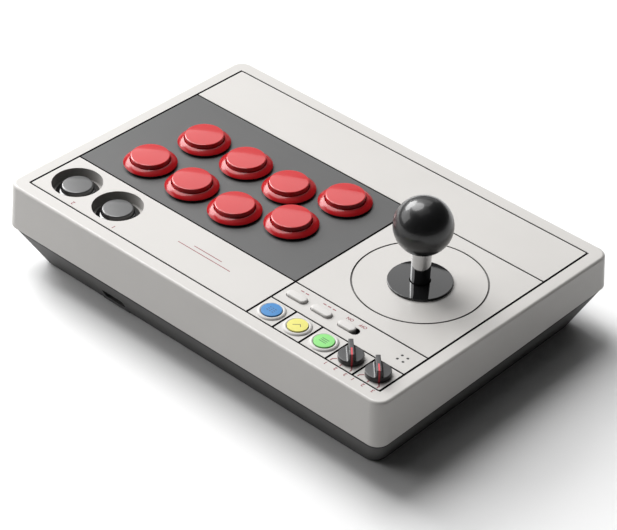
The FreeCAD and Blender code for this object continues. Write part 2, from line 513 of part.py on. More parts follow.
def make_base_tub():
    """Dark lower half: tapered walls, floor with the mat's recess, screw posts, socket recess."""
    body = new_body("base_tub")
    top = "(sizes.split_height - sizes.shadow_gap)"
    foot = new_sketch(body, "XY_Plane", "foot", "sizes.foot_height")
    base_rectangle(foot, "sizes.base_foot_inset", "sizes.base_corner")
    brim = new_sketch(body, "XY_Plane", "brim", top)
    base_rectangle(brim, "sizes.base_top_inset", "sizes.base_corner")
    taper = body.newObject("PartDesign::AdditiveLoft", "base_taper")
    taper.Profile = foot
    taper.Sections = [brim]
    taper.Ruled = True
    step = new_sketch(body, "XY_Plane", "step", top)
    base_rectangle(step, "sizes.base_top_inset + sizes.rim_step", "(sizes.base_corner - sizes.rim_step)")
    feature(body, "Pad", step, "sizes.shadow_gap")

    inside = "(sizes.foot_height + sizes.base_floor)"
    floor = new_sketch(body, "XY_Plane", "floor", inside)
    base_rectangle(floor, "sizes.base_foot_inset + sizes.base_wall", "sizes.base_corner")
    mouth = new_sketch(body, "XY_Plane", "mouth", "sizes.split_height + 0.1 * sizes.base_wall")
    base_rectangle(mouth, "sizes.base_top_inset + sizes.base_wall", "sizes.base_corner")
    hollow = body.newObject("PartDesign::SubtractiveLoft", "base_hollow")
    hollow.Profile = floor
    hollow.Sections = [mouth]
    hollow.Ruled = True

    posts = new_sketch(body, "XY_Plane", "posts", "sizes.foot_height + sizes.base_floor / 2")
    bores = new_sketch(body, "XY_Plane", "bores", "sizes.foot_height")
    heads = new_sketch(body, "XY_Plane", "heads", "sizes.foot_height")
    for side, row in BOSSES:
        circle(posts, side, row, "sizes.post_radius")
        circle(bores, side, row, "sizes.post_hole")
        circle(heads, side, row, "sizes.post_counterbore")
    feature(body, "Pad", posts, "sizes.boss_bottom - sizes.foot_height - sizes.base_floor / 2")

    block = new_sketch(body, "XY_Plane", "port_block", "sizes.foot_height + sizes.base_floor / 2")
    rectangle(block, "sizes.port_x - sizes.port_half_width - sizes.port_block_margin",
              "sizes.port_back_y - sizes.port_block_depth",
              "sizes.port_x + sizes.port_half_width + sizes.port_block_margin",
              "sizes.shell_depth / 2 - sizes.base_foot_inset + sizes.base_wall / 2")
    block_top = "(sizes.port_high + sizes.port_block_margin)"
    feature(body, "Pad", block, f"{block_top} - sizes.foot_height - sizes.base_floor / 2")
    rests = new_sketch(body, "XY_Plane", "board_rests", "sizes.foot_height + sizes.base_floor / 2")
    for sign in ("-", "+"):
        circle(rests, f"sizes.port_x {sign} sizes.socket_board_width / 2.6", SOCKET_BOARD_Y, "sizes.socket_board_post")
    feature(body, "Pad", rests, f"{SOCKET_BOARD_LOW} - sizes.foot_height - sizes.base_floor / 2")
    feature(body, "Pocket", bores, "sizes.boss_bottom", backwards=True)
    feature(body, "Pocket", heads, "sizes.boss_bottom - sizes.post_shoulder - sizes.foot_height", backwards=True)

    recess = new_sketch(body, "XZ_Plane", "port_recess", "-sizes.port_back_y")
    rectangle(recess, "sizes.port_x - sizes.port_half_width", "sizes.port_low",
              "sizes.port_x + sizes.port_half_width", "sizes.port_high", "sizes.port_corner")
    feature(body, "Pocket", recess, "sizes.shell_depth / 2 - sizes.port_back_y + sizes.base_wall")
    slot = new_sketch(body, "XZ_Plane", "port_slot", "-(sizes.port_back_y - 1.2 * sizes.port_block_depth)")
    middle_rectangle(slot, "sizes.port_x", PORT_Z, "sizes.socket_width + 2 * sizes.socket_gap",
                     "sizes.socket_height + 2 * sizes.socket_gap", "(sizes.socket_corner + sizes.socket_gap)")
    feature(body, "Pocket", slot, "2 * sizes.port_block_depth")

    recess_mat = new_sketch(body, "XY_Plane", "mat_recess", "sizes.foot_height")
    base_rectangle(recess_mat, "sizes.base_foot_inset + sizes.mat_inset - sizes.mat_clearance",
                   "(sizes.mat_corner + sizes.mat_clearance)")
    feature(body, "Pocket", recess_mat, "sizes.mat_thickness - sizes.foot_height", backwards=True)


PORT_Z = "((sizes.port_low + sizes.port_high) / 2)"
SOCKET_BOARD_LOW = f"({PORT_Z} - sizes.socket_height / 2 - sizes.board_thickness)"
SOCKET_BOARD_Y = "(sizes.port_back_y - sizes.port_block_depth - sizes.socket_board_depth / 2 - 0.2)"


def make_mat_and_ballast():
    """Rubber mat under the base, and the steel plate that weighs it down from inside."""
    mat = new_body("rubber_mat")
    sheet_outline = new_sketch(mat, "XY_Plane", "outline")
    base_rectangle(sheet_outline, "sizes.base_foot_inset + sizes.mat_inset", "sizes.mat_corner")
    feature(mat, "Pad", sheet_outline, "sizes.mat_thickness")
    ballast = new_body("ballast_plate")
    plate = new_sketch(ballast, "XY_Plane", "outline", "sizes.foot_height + sizes.base_floor")
    middle_rectangle(plate, "0", "0", "sizes.shell_width - 2 * sizes.ballast_side_gap",
                     "sizes.shell_depth - 2 * sizes.ballast_end_gap", "sizes.ballast_corner")
    feature(ballast, "Pad", plate, "sizes.ballast_thickness")
    battery = new_body("battery_pack")
    cell = new_sketch(battery, "XY_Plane", "outline",
                      "sizes.foot_height + sizes.base_floor + sizes.ballast_thickness")
    middle_rectangle(cell, "sizes.battery_x", "0", "sizes.battery_length", "sizes.battery_width",
                     "sizes.battery_corner")
    feature(battery, "Pad", cell, "sizes.battery_height")


def screw(name, radius, length, head_radius, head_height, recess):
    """Pan head screw along Z, its head's underside at zero and its shank going up."""
    shank = doc.addObject("Part::Cylinder", name + "_shank")
    shank.setExpression("Radius", radius)
    shank.setExpression("Height", length)
    head = doc.addObject("Part::Cylinder", name + "_head")
    head.setExpression("Radius", head_radius)
    head.setExpression("Height", head_height)
    head.setExpression("Placement.Base.z", f"-({head_height})")
    drive = doc.addObject("Part::Prism", name + "_drive")
    drive.Polygon = 6
    drive.setExpression("Circumradius", recess)
    drive.setExpression("Height", f"({head_height}) / 2")
    drive.setExpression("Placement.Base.z", f"-({head_height})")
    whole = doc.addObject("Part::Fuse", name + "_whole")
    whole.Base = shank
    whole.Tool = head
    made = doc.addObject("Part::Cut", name)
    made.Base = whole
    made.Tool = drive
    return made


def group(label, items):
    """Like pieces kept as one node of separate solids."""
    made = doc.addObject("Part::Compound", label)
    made.Label = label
    made.Links = items
    subparts.append(made)
    return made


def make_case_screws():
    """Four screws from below, through the base's posts into the shell's bosses."""
    items = []
    for number, (side, row) in enumerate(BOSSES):
        made = screw("case_screw_%d" % number, "sizes.screw_radius", "sizes.screw_length",
                     "sizes.screw_head_radius", "sizes.screw_head_height", "sizes.screw_recess")
        made.setExpression("Placement.Base.x", side)
        made.setExpression("Placement.Base.y", row)
        made.setExpression("Placement.Base.z", "sizes.boss_bottom - sizes.post_shoulder")
        items.append(made)
    group("case_screws", items)


def make_button(name, kind, x, y, seat):
    """Snap-in press button: turned housing with a domed rim, and the plunger that slides in it."""
    size = "sizes." + kind + "_"
    housing = new_body(name + "_housing")
    on_panel(housing, x, y, seat)
    depth = f"-{size}barrel_depth"
    stem_hole = f"({size}stem + sizes.housing_bottom_clearance)"
    turned(housing, "section", [
        (f"{size}rim_under", "0"), (f"{size}rim_under", f"0.8 * {size}rim_edge"),
        (f"{size}rim_radius", f"{size}rim_edge"),
        (f"{size}rim_inner", f"{size}rim_height", f"{size}rim_curve", 1),
        (f"{size}bore", f"{size}rim_height - {size}rim_break"),
        (f"{size}bore", f"{depth} + sizes.housing_floor"), (stem_hole, f"{depth} + sizes.housing_floor"),
        (stem_hole, depth), (f"{size}barrel", depth), (f"{size}barrel", "0")])
    tabs = new_sketch(housing, "XY_Plane", "tabs", SNAP_TOP[kind])
    for sign, low, high in (("", "-sizes.snap_root", "sizes.snap_proud"), ("-", "-sizes.snap_proud", "sizes.snap_root")):
        rectangle(tabs, f"{sign}{size}barrel + {low}", "-sizes.snap_width / 2",
                  f"{sign}{size}barrel + {high}", "sizes.snap_width / 2")
    feature(housing, "Pad", tabs, "sizes.snap_height", backwards=True)

    plunger = new_body(name + "_plunger")
    on_panel(plunger, x, y, seat)
    edge = f"({size}bore - sizes.cap_clearance)"
    stem_end = f"({depth} + sizes.switch_nub_height + sizes.switch_nub_gap + {size}travel)"
    dome = f"((({edge} - {size}cap_curve) ^ 2 + {size}crown ^ 2) / (2 * {size}crown))"
    turned(plunger, "section", [
        ("0", f"{size}cap_top + {size}crown", dome, 1), ("0", stem_end), (f"{size}stem", stem_end),
        (f"{size}stem", f"{size}cap_top - sizes.cap_wall"),
        (f"{edge} - sizes.cap_wall", f"{size}cap_top - sizes.cap_wall"),
        (f"{edge} - sizes.cap_wall", f"-{size}skirt"), (edge, f"-{size}skirt"),
        (edge, f"{size}cap_top - {size}cap_curve"),
        (f"{edge} - {size}cap_curve", f"{size}cap_top", f"{size}cap_curve", 1)])


SNAP_TOP = {"main": "-(sizes.plate_thickness + sizes.hole_clearance)",
            "fn": "-(sizes.well_floor + sizes.hole_clearance)"}


def make_button_switches():
    """One micro switch under each press button, as one group."""
    items = []
    places = [("main", x, y, "0") for x, y in MAIN_BUTTONS]
    places += [("fn", x, y, "-sizes.well_depth") for x, y in FUNCTION_BUTTONS]
    for number, (kind, x, y, seat) in enumerate(places):
        size = "sizes." + kind + "_"
        case = doc.addObject("Part::Box", "switch_case_%d" % number)
        case.setExpression("Length", "sizes.switch_length")
        case.setExpression("Width", "sizes.switch_width")
        case.setExpression("Height", "sizes.switch_height")
        case.setExpression("Placement.Base.x", "-sizes.switch_length / 2")
        case.setExpression("Placement.Base.y", "-sizes.switch_width / 2")
        case.setExpression("Placement.Base.z", "-sizes.switch_height")
        nub = doc.addObject("Part::Cylinder", "switch_nub_%d" % number)
        nub.setExpression("Radius", "sizes.switch_nub")
        nub.setExpression("Height", "sizes.switch_nub_height")
        made = doc.addObject("Part::Fuse", "button_switch_%d" % number)
        made.Base = case
        made.Tool = nub
        on_panel(made, x, y, f"{seat} - {size}barrel_depth")
        items.append(made)
    group("button_switches", items)


def make_round_buttons():
    """Three coloured round buttons, each in a light bezel."""
    bezels = []
    for colour, cell in ROUND_CELLS.items():
        x = f"{cell} * sizes.column_pitch"
        bezel = new_body(colour + "_bezel")
        bezels.append(subparts.pop())
        on_panel(bezel, x, CELL_Y)
        turned(bezel, "section", [
            ("sizes.bezel_radius", "0"),
            ("sizes.bezel_crest", "sizes.bezel_height", "sizes.bezel_curve", 1),
            ("sizes.bezel_inner", "sizes.bezel_height - sizes.pill_clearance"),
            ("sizes.bezel_inner", "-sizes.bezel_depth"), ("sizes.bezel_barrel", "-sizes.bezel_depth"),
            ("sizes.bezel_barrel", "0")])
        cap = new_body(colour + "_button")
        on_panel(cap, x, CELL_Y)
        edge = "(sizes.bezel_inner - sizes.pill_clearance)"
        turned(cap, "section", [
            ("0", "sizes.round_cap_top"), ("0", "-sizes.small_bottom"), (edge, "-sizes.small_bottom"),
            (edge, "sizes.round_cap_top - sizes.round_cap_curve"),
            (f"{edge} - sizes.round_cap_curve", "sizes.round_cap_top", "sizes.round_cap_curve", 1)])
    group("round_bezels", bezels)


def make_pill(label, x, length, top, flange_reach):
    """Pill-shaped cap standing through the plate, kept in by a flange below it."""
    body = new_body(label)
    on_panel(body, x, PILL_Y)
    bottom = "-sizes.small_bottom"
    cap = new_sketch(body, "XY_Plane", "cap", bottom)
    middle_rectangle(cap, "0", "0", length, "sizes.pill_width", "sizes.pill_corner")
    raised = feature(body, "Pad", cap, f"{top} + sizes.small_bottom")
    rounded_edges(body, raised, lies_at(value(body, top)), "sizes.pill_edge")
    flange = new_sketch(body, "XY_Plane", "flange", bottom)
    middle_rectangle(flange, "0", "0", f"{length} + 2 * ({flange_reach})",
                     "sizes.pill_width + 2 * (sizes.flange_proud + sizes.pill_clearance)",
                     "sizes.pill_corner")
    feature(body, "Pad", flange, "sizes.small_bottom - sizes.plate_thickness - sizes.flange_gap")


def make_knob(side):
    """Rotary knob: round base, pointer blade right across it, and a shaft through the plate."""
    body = new_body(side + "_knob")
    on_panel(body, f"{KNOB_CELLS[side]} * sizes.column_pitch", CELL_Y)
    base = turned(body, "base", [
        ("0", "sizes.knob_base_height"), ("0", "-sizes.plate_thickness - sizes.flange_gap"),
        ("sizes.knob_shaft", "-sizes.plate_thickness - sizes.flange_gap"),
        ("sizes.knob_shaft", "sizes.knob_lift"), ("sizes.knob_radius", "sizes.knob_lift"),
        ("sizes.knob_radius", "sizes.knob_base_height - sizes.knob_edge"),
        ("sizes.knob_radius - sizes.knob_edge", "sizes.knob_base_height", "sizes.knob_edge", 1)])
    blade = new_sketch(body, "XY_Plane", "blade", "sizes.knob_base_height / 2")
    corners = []
    for along, across in ((1, 1), (-1, 1), (-1, -1), (1, -1)):
        reach = f"{along} * (sizes.knob_radius - sizes.knob_edge)"
        width = f"{across} * sizes.blade_width / 2"
        turn = "(sizes.knob_turn * 1 deg)"
        corners.append((f"-{reach} * sin{turn} - {width} * cos{turn}", f"{reach} * cos{turn} - {width} * sin{turn}"))
    outline(blade, corners)
    raised = feature(body, "Pad", blade, "sizes.blade_top - sizes.knob_base_height / 2")
    rounded_edges(body, raised, lies_at(value(body, "sizes.blade_top")), "sizes.blade_edge", "Chamfer")


def make_light_guide():
    """Clear moulding whose four pins show as indicator lights."""
    body = new_body("light_guide")
    on_panel(body, LIGHTS[0], LIGHTS[1])
    block = new_sketch(body, "XY_Plane", "block", "-sizes.plate_thickness")
    middle_rectangle(block, "0", "0", "sizes.light_block", "sizes.light_block", "sizes.board_corner")
    feature(body, "Pad", block, "sizes.light_block_height", backwards=True)
    pins = new_sketch(body, "XY_Plane", "pins", "-sizes.plate_thickness")
    for across in ("-", "+"):
        for along in ("-", "+"):
            circle(pins, f"{across}sizes.light_pitch / 2", f"{along}sizes.light_pitch / 2", "sizes.light_radius")
    feature(body, "Pad", pins, "sizes.plate_thickness")


def panel_box(name, x, y, low, length, width, height):
    """Plain block in the panel's frame, centred at x, y with its bottom at low."""
    made = doc.addObject("Part::Box", name)
    made.setExpression("Length", length)
    made.setExpression("Width", width)
    made.setExpression("Height", height)
    on_panel(made, f"({x}) - ({length}) / 2", f"({y}) - ({width}) / 2", low)
    return made


def make_control_board():
    """Board hung on the plate's posts, with the switches of the small controls on it."""
    board = new_body("control_board")
    on_panel(board)
    blank = new_sketch(board, "XY_Plane", "outline", "-sizes.board_drop")
    rectangle(blank, BOARD_LEFT, BOARD_FRONT, BOARD_RIGHT, BOARD_REAR, "sizes.board_corner")
    feature(board, "Pad", blank, "sizes.board_thickness", backwards=True)
    low = "-sizes.board_drop"
    tact_height = "(sizes.board_drop - sizes.small_bottom - sizes.small_travel - sizes.tact_gap)"
    places = [(f"{cell} * sizes.column_pitch", CELL_Y) for cell in ROUND_CELLS.values()]
    places += [(x, PILL_Y) for x in PILLS.values()]
    group("key_switches", [panel_box("key_switch_%d" % number, x, y, low, "sizes.tact_size",
                                     "sizes.tact_size", tact_height)
                           for number, (x, y) in enumerate(places)])
    body_height = "(sizes.board_drop - sizes.small_bottom - sizes.tact_gap)"
    slide_body = panel_box("slide_switch_body", SLOT_X, PILL_Y, low, "sizes.slide_body_length",
                           "sizes.slide_body_width", body_height)
    subparts.append(slide_body)
    group("rotary_switches", [panel_box("rotary_switch_" + side, f"{cell} * sizes.column_pitch", CELL_Y, low,
                                        "sizes.rotary_size", "sizes.rotary_size",
                                        "(sizes.board_drop - sizes.plate_thickness - 2 * sizes.flange_gap)")
                              for side, cell in KNOB_CELLS.items()])


def make_lever():
    """The moving lever: ball, shaft, cover tube, return spring, actuator and clip."""
    ball_low = "(sizes.ball_height - sqrt(sizes.ball_radius ^ 2 - sizes.ball_flat ^ 2))"
    shaft_top = f"({ball_low} + sizes.ball_socket)"
    socket = "(sizes.shaft_radius + sizes.sleeve_gap)"
    ball = new_body("ball_top")
    on_panel(ball, STICK[0], STICK[1])
    turned(ball, "section", [
        ("0", "sizes.ball_height + sizes.ball_radius"), ("0", f"{shaft_top} + sizes.sleeve_gap"),
        (socket, f"{shaft_top} + sizes.sleeve_gap"), (socket, ball_low), ("sizes.ball_flat", ball_low),
        ("sizes.ball_radius", "sizes.ball_height", "sizes.ball_radius", 1),
        ("0", "sizes.ball_height + sizes.ball_radius", "sizes.ball_radius", 1)][1:])
    shaft_low = "-(sizes.actuator_bottom + sizes.clip_thickness + sizes.shaft_tail)"
    rod = doc.addObject("Part::Cylinder", "lever_shaft_rod")
    rod.setExpression("Radius", "sizes.shaft_radius")
    rod.setExpression("Height", f"{shaft_top} - {shaft_low}")
    shaft = doc.addObject("Part::Chamfer", "lever_shaft")
    doc.recompute()
    shaft.Base = rod
    shaft.Edges = [(number + 1, 0.6, 0.6) for number, edge in enumerate(rod.Shape.Edges)
                   if edge.Curve.TypeId == "Part::GeomCircle"]
    shaft.Label = "lever_shaft"
    on_panel(shaft, STICK[0], STICK[1], shaft_low)
    subparts.append(shaft)
    cover = new_body("shaft_cover")
    on_panel(cover, STICK[0], STICK[1])
    turned(cover, "section", [(socket, "-sizes.cover_bottom"), ("sizes.cover_radius", "-sizes.cover_bottom"),
                              ("sizes.cover_radius", ball_low), (socket, ball_low)])
    actuator = new_body("actuator")
    on_panel(actuator, STICK[0], STICK[1])
    collar = "(sizes.spring_radius + 2 * sizes.spring_wire)"
    turned(actuator, "section", [
        (socket, "-sizes.actuator_bottom"), ("sizes.actuator_radius", "-sizes.actuator_bottom"),
        ("sizes.actuator_radius", "-sizes.actuator_top - 2 * sizes.spring_wire"),
        (collar, "-sizes.actuator_top"), (socket, "-sizes.actuator_top")])
    clip = new_body("retaining_clip")
    on_panel(clip, STICK[0], STICK[1])
    turned(clip, "section", [
        (socket, "-sizes.actuator_bottom - sizes.clip_thickness"),
        ("sizes.clip_radius", "-sizes.actuator_bottom - sizes.clip_thickness"),
        ("sizes.clip_radius", "-sizes.actuator_bottom"), (socket, "-sizes.actuator_bottom")])
    spring = new_body("return_spring")
    on_panel(spring, STICK[0], STICK[1], "-sizes.spring_bottom")
    wire = new_sketch(spring, "XZ_Plane", "wire")
    circle(wire, "sizes.spring_radius", "0", "sizes.spring_wire")
    coil = spring.newObject("PartDesign::AdditiveHelix", "return_spring_coil")
    coil.Profile = wire
    coil.ReferenceAxis = (wire, ["V_Axis"])
    coil.Mode = 0
    coil.setExpression("Pitch", "(sizes.spring_bottom - sizes.spring_top) / sizes.spring_turns")
    coil.setExpression("Height", "sizes.spring_bottom - sizes.spring_top")
    pivot = new_body("pivot_ball")
    on_panel(pivot, STICK[0], STICK[1], "-sizes.pivot_depth")
    zone = "sqrt(sizes.pivot_radius ^ 2 - sizes.pivot_half ^ 2)"
    turned(pivot, "section", [
        ("sizes.pivot_mouth", "-sizes.pivot_half"), (zone, "-sizes.pivot_half"),
        (zone, "sizes.pivot_half", "sizes.pivot_radius", 1), ("sizes.pivot_mouth", "sizes.pivot_half"),
        ("sizes.pivot_waist", "0")])


def stick_square(body, name, lift, hole_radius=None):
    """Square sketch of the lever unit's outline, with a round hole where a radius is given."""
    sketch = new_sketch(body, "XY_Plane", name, lift)
    middle_rectangle(sketch, "0", "0", "sizes.stick_body_size", "sizes.stick_body_size",
                     "sizes.stick_body_corner")
    if hole_radius is not None:
        circle(sketch, "0", "0", hole_radius)
    return sketch


def make_lever_unit():
    """Lower half of the joystick: sliding washer, mounting plate, housing, switches, board and gate."""
    washer = new_body("dust_washer")
    on_panel(washer, STICK[0], STICK[1])
    turned(washer, "section", [
        ("sizes.washer_hole", "0"), ("sizes.washer_radius", "0"),
        ("sizes.washer_radius", "sizes.washer_thickness - sizes.washer_edge"),
        ("sizes.washer_radius - sizes.washer_edge", "sizes.washer_thickness", "sizes.washer_edge", 1),
        ("sizes.washer_hole", "sizes.washer_thickness")])
    ring = new_body("washer_slip_ring")
    on_panel(ring, STICK[0], STICK[1])
    ring_low = "(-sizes.slip_ring_top - sizes.slip_ring_thickness)"
    turned(ring, "section", [
        ("sizes.slip_ring_hole", ring_low), ("sizes.slip_ring_radius", ring_low),
        ("sizes.slip_ring_radius", "-sizes.slip_ring_top"), ("sizes.slip_ring_hole", "-sizes.slip_ring_top")])
    mount = new_body("stick_mount_plate")
    on_panel(mount, STICK[0], STICK[1])
    blank = new_sketch(mount, "XY_Plane", "outline", "-sizes.plate_thickness")
    middle_rectangle(blank, "0", "0", f"2 * {MOUNT_HALF}", "sizes.mount_width", "sizes.mount_corner")
    circle(blank, "0", "0", "sizes.panel_hole")
    screws = []
    for number, (across, along) in enumerate((("-", "-"), ("-", "+"), ("+", "-"), ("+", "+"))):
        x = f"{across}{MOUNT_SCREW_X}"
        y = f"{along}sizes.mount_screw_y"
        circle(blank, x, y, "sizes.mount_screw_hole")
        made = screw("mount_screw_%d" % number, "sizes.mount_screw_radius",
                     "sizes.mount_thickness + sizes.mount_screw_bite", "sizes.mount_screw_head",
                     "sizes.mount_screw_head_height", "sizes.screw_recess")
        on_panel(made, f"{STICK[0]} {across} {MOUNT_SCREW_X}", y,
                 "-sizes.plate_thickness - sizes.mount_thickness")
        screws.append(made)
    feature(mount, "Pad", blank, "sizes.mount_thickness", backwards=True)
    group("mount_screws", screws)

    top = "(-sizes.plate_thickness - sizes.mount_thickness)"
    low = f"({top} - sizes.stick_body_depth)"
    housing = new_body("stick_housing")
    on_panel(housing, STICK[0], STICK[1])
    feature(housing, "Pad", stick_square(housing, "outline", top), "sizes.stick_body_depth", backwards=True)
    neck = new_sketch(housing, "XY_Plane", "neck", top)
    circle(neck, "0", "0", "sizes.neck_radius")
    neck_top = f"({ring_low} - sizes.neck_gap)"
    feature(housing, "Pad", neck, f"{neck_top} - {top}")
    seat = "(sizes.pivot_radius + sizes.pivot_gap)"
    mouth = f"sqrt({seat} ^ 2 - (sizes.pivot_depth + {top}) ^ 2)"
    cut = turned(housing, "cavity", [
        ("0", f"{neck_top} + 1"), ("0", f"{low} - 1"), ("sizes.stick_cavity", f"{low} - 1"),
        ("sizes.stick_cavity", "-sizes.pivot_depth - sizes.stick_neck"),
        (seat, "-sizes.pivot_depth - sizes.stick_neck"), (seat, "-sizes.pivot_depth"),
        (mouth, top, seat, 1), (seat, top), (seat, f"{neck_top} + 1")], "Groove")

    board = new_body("stick_board")
    on_panel(board, STICK[0], STICK[1])
    feature(board, "Pad", stick_square(board, "outline", low, "sizes.stick_cavity"),
            "sizes.stick_board_thickness", backwards=True)
    switch_top = f"({low} - sizes.stick_board_thickness)"
    switch_low = f"({switch_top} - sizes.stick_switch_height)"
    reach = "(sizes.stick_switch_reach + sizes.stick_switch_width / 2)"
    length = "sizes.stick_switch_length"
    width = "sizes.stick_switch_width"
    sides = []
    for name, x, y, long_x, long_y in (("left", f"-{reach}", "0", width, length), ("right", reach, "0", width, length),
                                       ("front", "0", f"-{reach}", length, width), ("rear", "0", reach, length, width)):
        sides.append(panel_box("lever_switch_" + name, f"{STICK[0]} + {x}", y, switch_low, long_x, long_y,
                               "sizes.stick_switch_height"))
    group("lever_switches", sides)
    gate = new_body("stick_gate")
    on_panel(gate, STICK[0], STICK[1])
    frame = stick_square(gate, "outline", switch_low)
    middle_rectangle(frame, "0", "0", "2 * sizes.gate_half", "2 * sizes.gate_half", "sizes.gate_corner")
    feature(gate, "Pad", frame, "sizes.gate_thickness", backwards=True)


def make_socket():
    """Wired socket: metal shell with its tongue, on a small board behind the rear wall."""
    shell = new_body("usb_socket")
    back = "sizes.port_back_y - sizes.socket_length"
    tube = new_sketch(shell, "XZ_Plane", "tube", f"-({back})")
    middle_rectangle(tube, "sizes.port_x", PORT_Z, "sizes.socket_width", "sizes.socket_height", "sizes.socket_corner")
    feature(shell, "Pad", tube, "sizes.socket_length", backwards=True)
    inner = new_sketch(shell, "XZ_Plane", "inner", "-sizes.port_back_y")
    middle_rectangle(inner, "sizes.port_x", PORT_Z, "sizes.socket_width - 2 * sizes.socket_wall",
                     "sizes.socket_height - 2 * sizes.socket_wall", "(sizes.socket_corner - sizes.socket_wall)")
    feature(shell, "Pocket", inner, "0.8 * sizes.socket_length", backwards=True)
    tongue = new_sketch(shell, "XZ_Plane", "tongue", f"-({back})")
    middle_rectangle(tongue, "sizes.port_x", PORT_Z, "sizes.tongue_width", "sizes.tongue_height")
    feature(shell, "Pad", tongue, "0.9 * sizes.socket_length", backwards=True)
    board = new_body("socket_board")
    blank = new_sketch(board, "XY_Plane", "outline", SOCKET_BOARD_LOW)
    middle_rectangle(blank, "sizes.port_x", SOCKET_BOARD_Y, "sizes.socket_board_width",
                     "sizes.socket_board_depth", "sizes.board_corner")
    feature(board, "Pad", blank, "sizes.board_thickness")


make_top_shell()
make_face_plate()
make_button_panel()
make_base_tub()
make_mat_and_ballast()
make_case_screws()
for number, (x, y) in enumerate(MAIN_BUTTONS, start=1):
    make_button("main_button_%d" % number, "main", x, y, "0")
for number, (x, y) in enumerate(FUNCTION_BUTTONS, start=1):
    make_button("function_button_%d" % number, "fn", x, y, "-sizes.well_depth")
make_button_switches()
make_round_buttons()
for pill, pill_x in PILLS.items():
    make_pill(pill + "_button", pill_x, "sizes.pill_length", "sizes.pill_top",
              "sizes.flange_proud + sizes.pill_clearance")
make_pill("slide_knob", SLIDER_X, "sizes.slider_length", "sizes.slider_top",
          "sizes.slide_travel + sizes.flange_proud")
for knob_side in KNOB_CELLS:
    make_knob(knob_side)
make_light_guide()
make_control_board()
make_lever_unit()
make_lever()
make_socket()
doc.recompute()

failed = [item.Name for item in doc.Objects if "Invalid" in item.State or "Error" in item.State]
failed += [item.Label for item in subparts if item.Shape.isNull() or not item.Shape.isValid()]
if failed:
    raise RuntimeError("not built: " + ", ".join(failed))
os.makedirs("parts", exist_ok=True)
for item in subparts:
    item.Shape.exportStep(os.path.join("parts", item.Label + ".step"))
print(len(subparts), "sub-parts written")
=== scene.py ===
import math

import bmesh
import bpy
from mathutils import Matrix, Vector


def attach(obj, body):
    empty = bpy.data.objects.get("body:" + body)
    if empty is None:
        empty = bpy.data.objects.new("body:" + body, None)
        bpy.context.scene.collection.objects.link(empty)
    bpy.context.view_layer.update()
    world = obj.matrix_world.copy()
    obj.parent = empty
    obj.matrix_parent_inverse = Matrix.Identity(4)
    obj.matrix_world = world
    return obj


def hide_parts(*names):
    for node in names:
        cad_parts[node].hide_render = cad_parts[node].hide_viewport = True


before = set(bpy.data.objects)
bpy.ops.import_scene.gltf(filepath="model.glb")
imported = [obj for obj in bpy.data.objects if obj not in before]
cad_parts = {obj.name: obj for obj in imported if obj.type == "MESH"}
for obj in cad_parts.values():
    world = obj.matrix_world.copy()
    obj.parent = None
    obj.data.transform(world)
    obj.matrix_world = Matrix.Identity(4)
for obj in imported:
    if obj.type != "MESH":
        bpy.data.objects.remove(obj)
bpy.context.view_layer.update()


# Rubber mat: one die-cut sheet of black rubber glued into the base's shallow recess, so that the
# controller stays put on a table or on knees. Its fine pebble keeps it from looking wet.
def moulded(name, colour, shade, roughness, grain_scale, grain_height, coat=0.0, coat_roughness=0.1):
    """Moulded surface: two close tones in slow clouds, uneven gloss and a fine grain."""
    material = bpy.data.materials.new(name)
    material.use_nodes = True
    nodes = material.node_tree.nodes
    links = material.node_tree.links
    shader = nodes["Principled BSDF"]
    shader.inputs["Coat Weight"].default_value = coat
    shader.inputs["Coat Roughness"].default_value = coat_roughness
    place = nodes.new("ShaderNodeTexCoord")
    clouds = nodes.new("ShaderNodeTexNoise")
    clouds.inputs["Scale"].default_value = 22
    clouds.inputs["Detail"].default_value = 3
    links.new(place.outputs["Object"], clouds.inputs["Vector"])
    tones = nodes.new("ShaderNodeValToRGB")
    tones.color_ramp.elements[0].position = 0.35
    tones.color_ramp.elements[0].color = (*shade, 1)
    tones.color_ramp.elements[1].position = 0.65
    tones.color_ramp.elements[1].color = (*colour, 1)
    links.new(clouds.outputs["Fac"], tones.inputs["Fac"])
    links.new(tones.outputs["Color"], shader.inputs["Base Color"])
    grain = nodes.new("ShaderNodeTexNoise")
    grain.inputs["Scale"].default_value = grain_scale
    grain.inputs["Detail"].default_value = 2
    links.new(place.outputs["Object"], grain.inputs["Vector"])
    gloss = nodes.new("ShaderNodeMapRange")
    gloss.inputs["To Min"].default_value = roughness * 0.88
    gloss.inputs["To Max"].default_value = roughness * 1.12
    links.new(grain.outputs["Fac"], gloss.inputs["Value"])
    links.new(gloss.outputs["Result"], shader.inputs["Roughness"])
    relief = nodes.new("ShaderNodeBump")
    relief.inputs["Strength"].default_value = 1.0
    relief.inputs["Distance"].default_value = grain_height
    links.new(grain.outputs["Fac"], relief.inputs["Height"])
    links.new(relief.outputs["Normal"], shader.inputs["Normal"])
    return material


def set_shader(material, socket, value):
    """Set one number of a finish that is the same all over its surface."""
    material.node_tree.nodes["Principled BSDF"].inputs[socket].default_value = value


def dress(node, material):
    """Give a CAD node its finish."""
    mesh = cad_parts[node].data
    if not mesh.materials:
        mesh.materials.append(material)
    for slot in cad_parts[node].material_slots:
        slot.material = material


pebbled_rubber = moulded("pebbled_rubber", (0.022, 0.022, 0.023), (0.016, 0.016, 0.017), 0.8, 900, 0.00008)
dress("rubber_mat", pebbled_rubber)


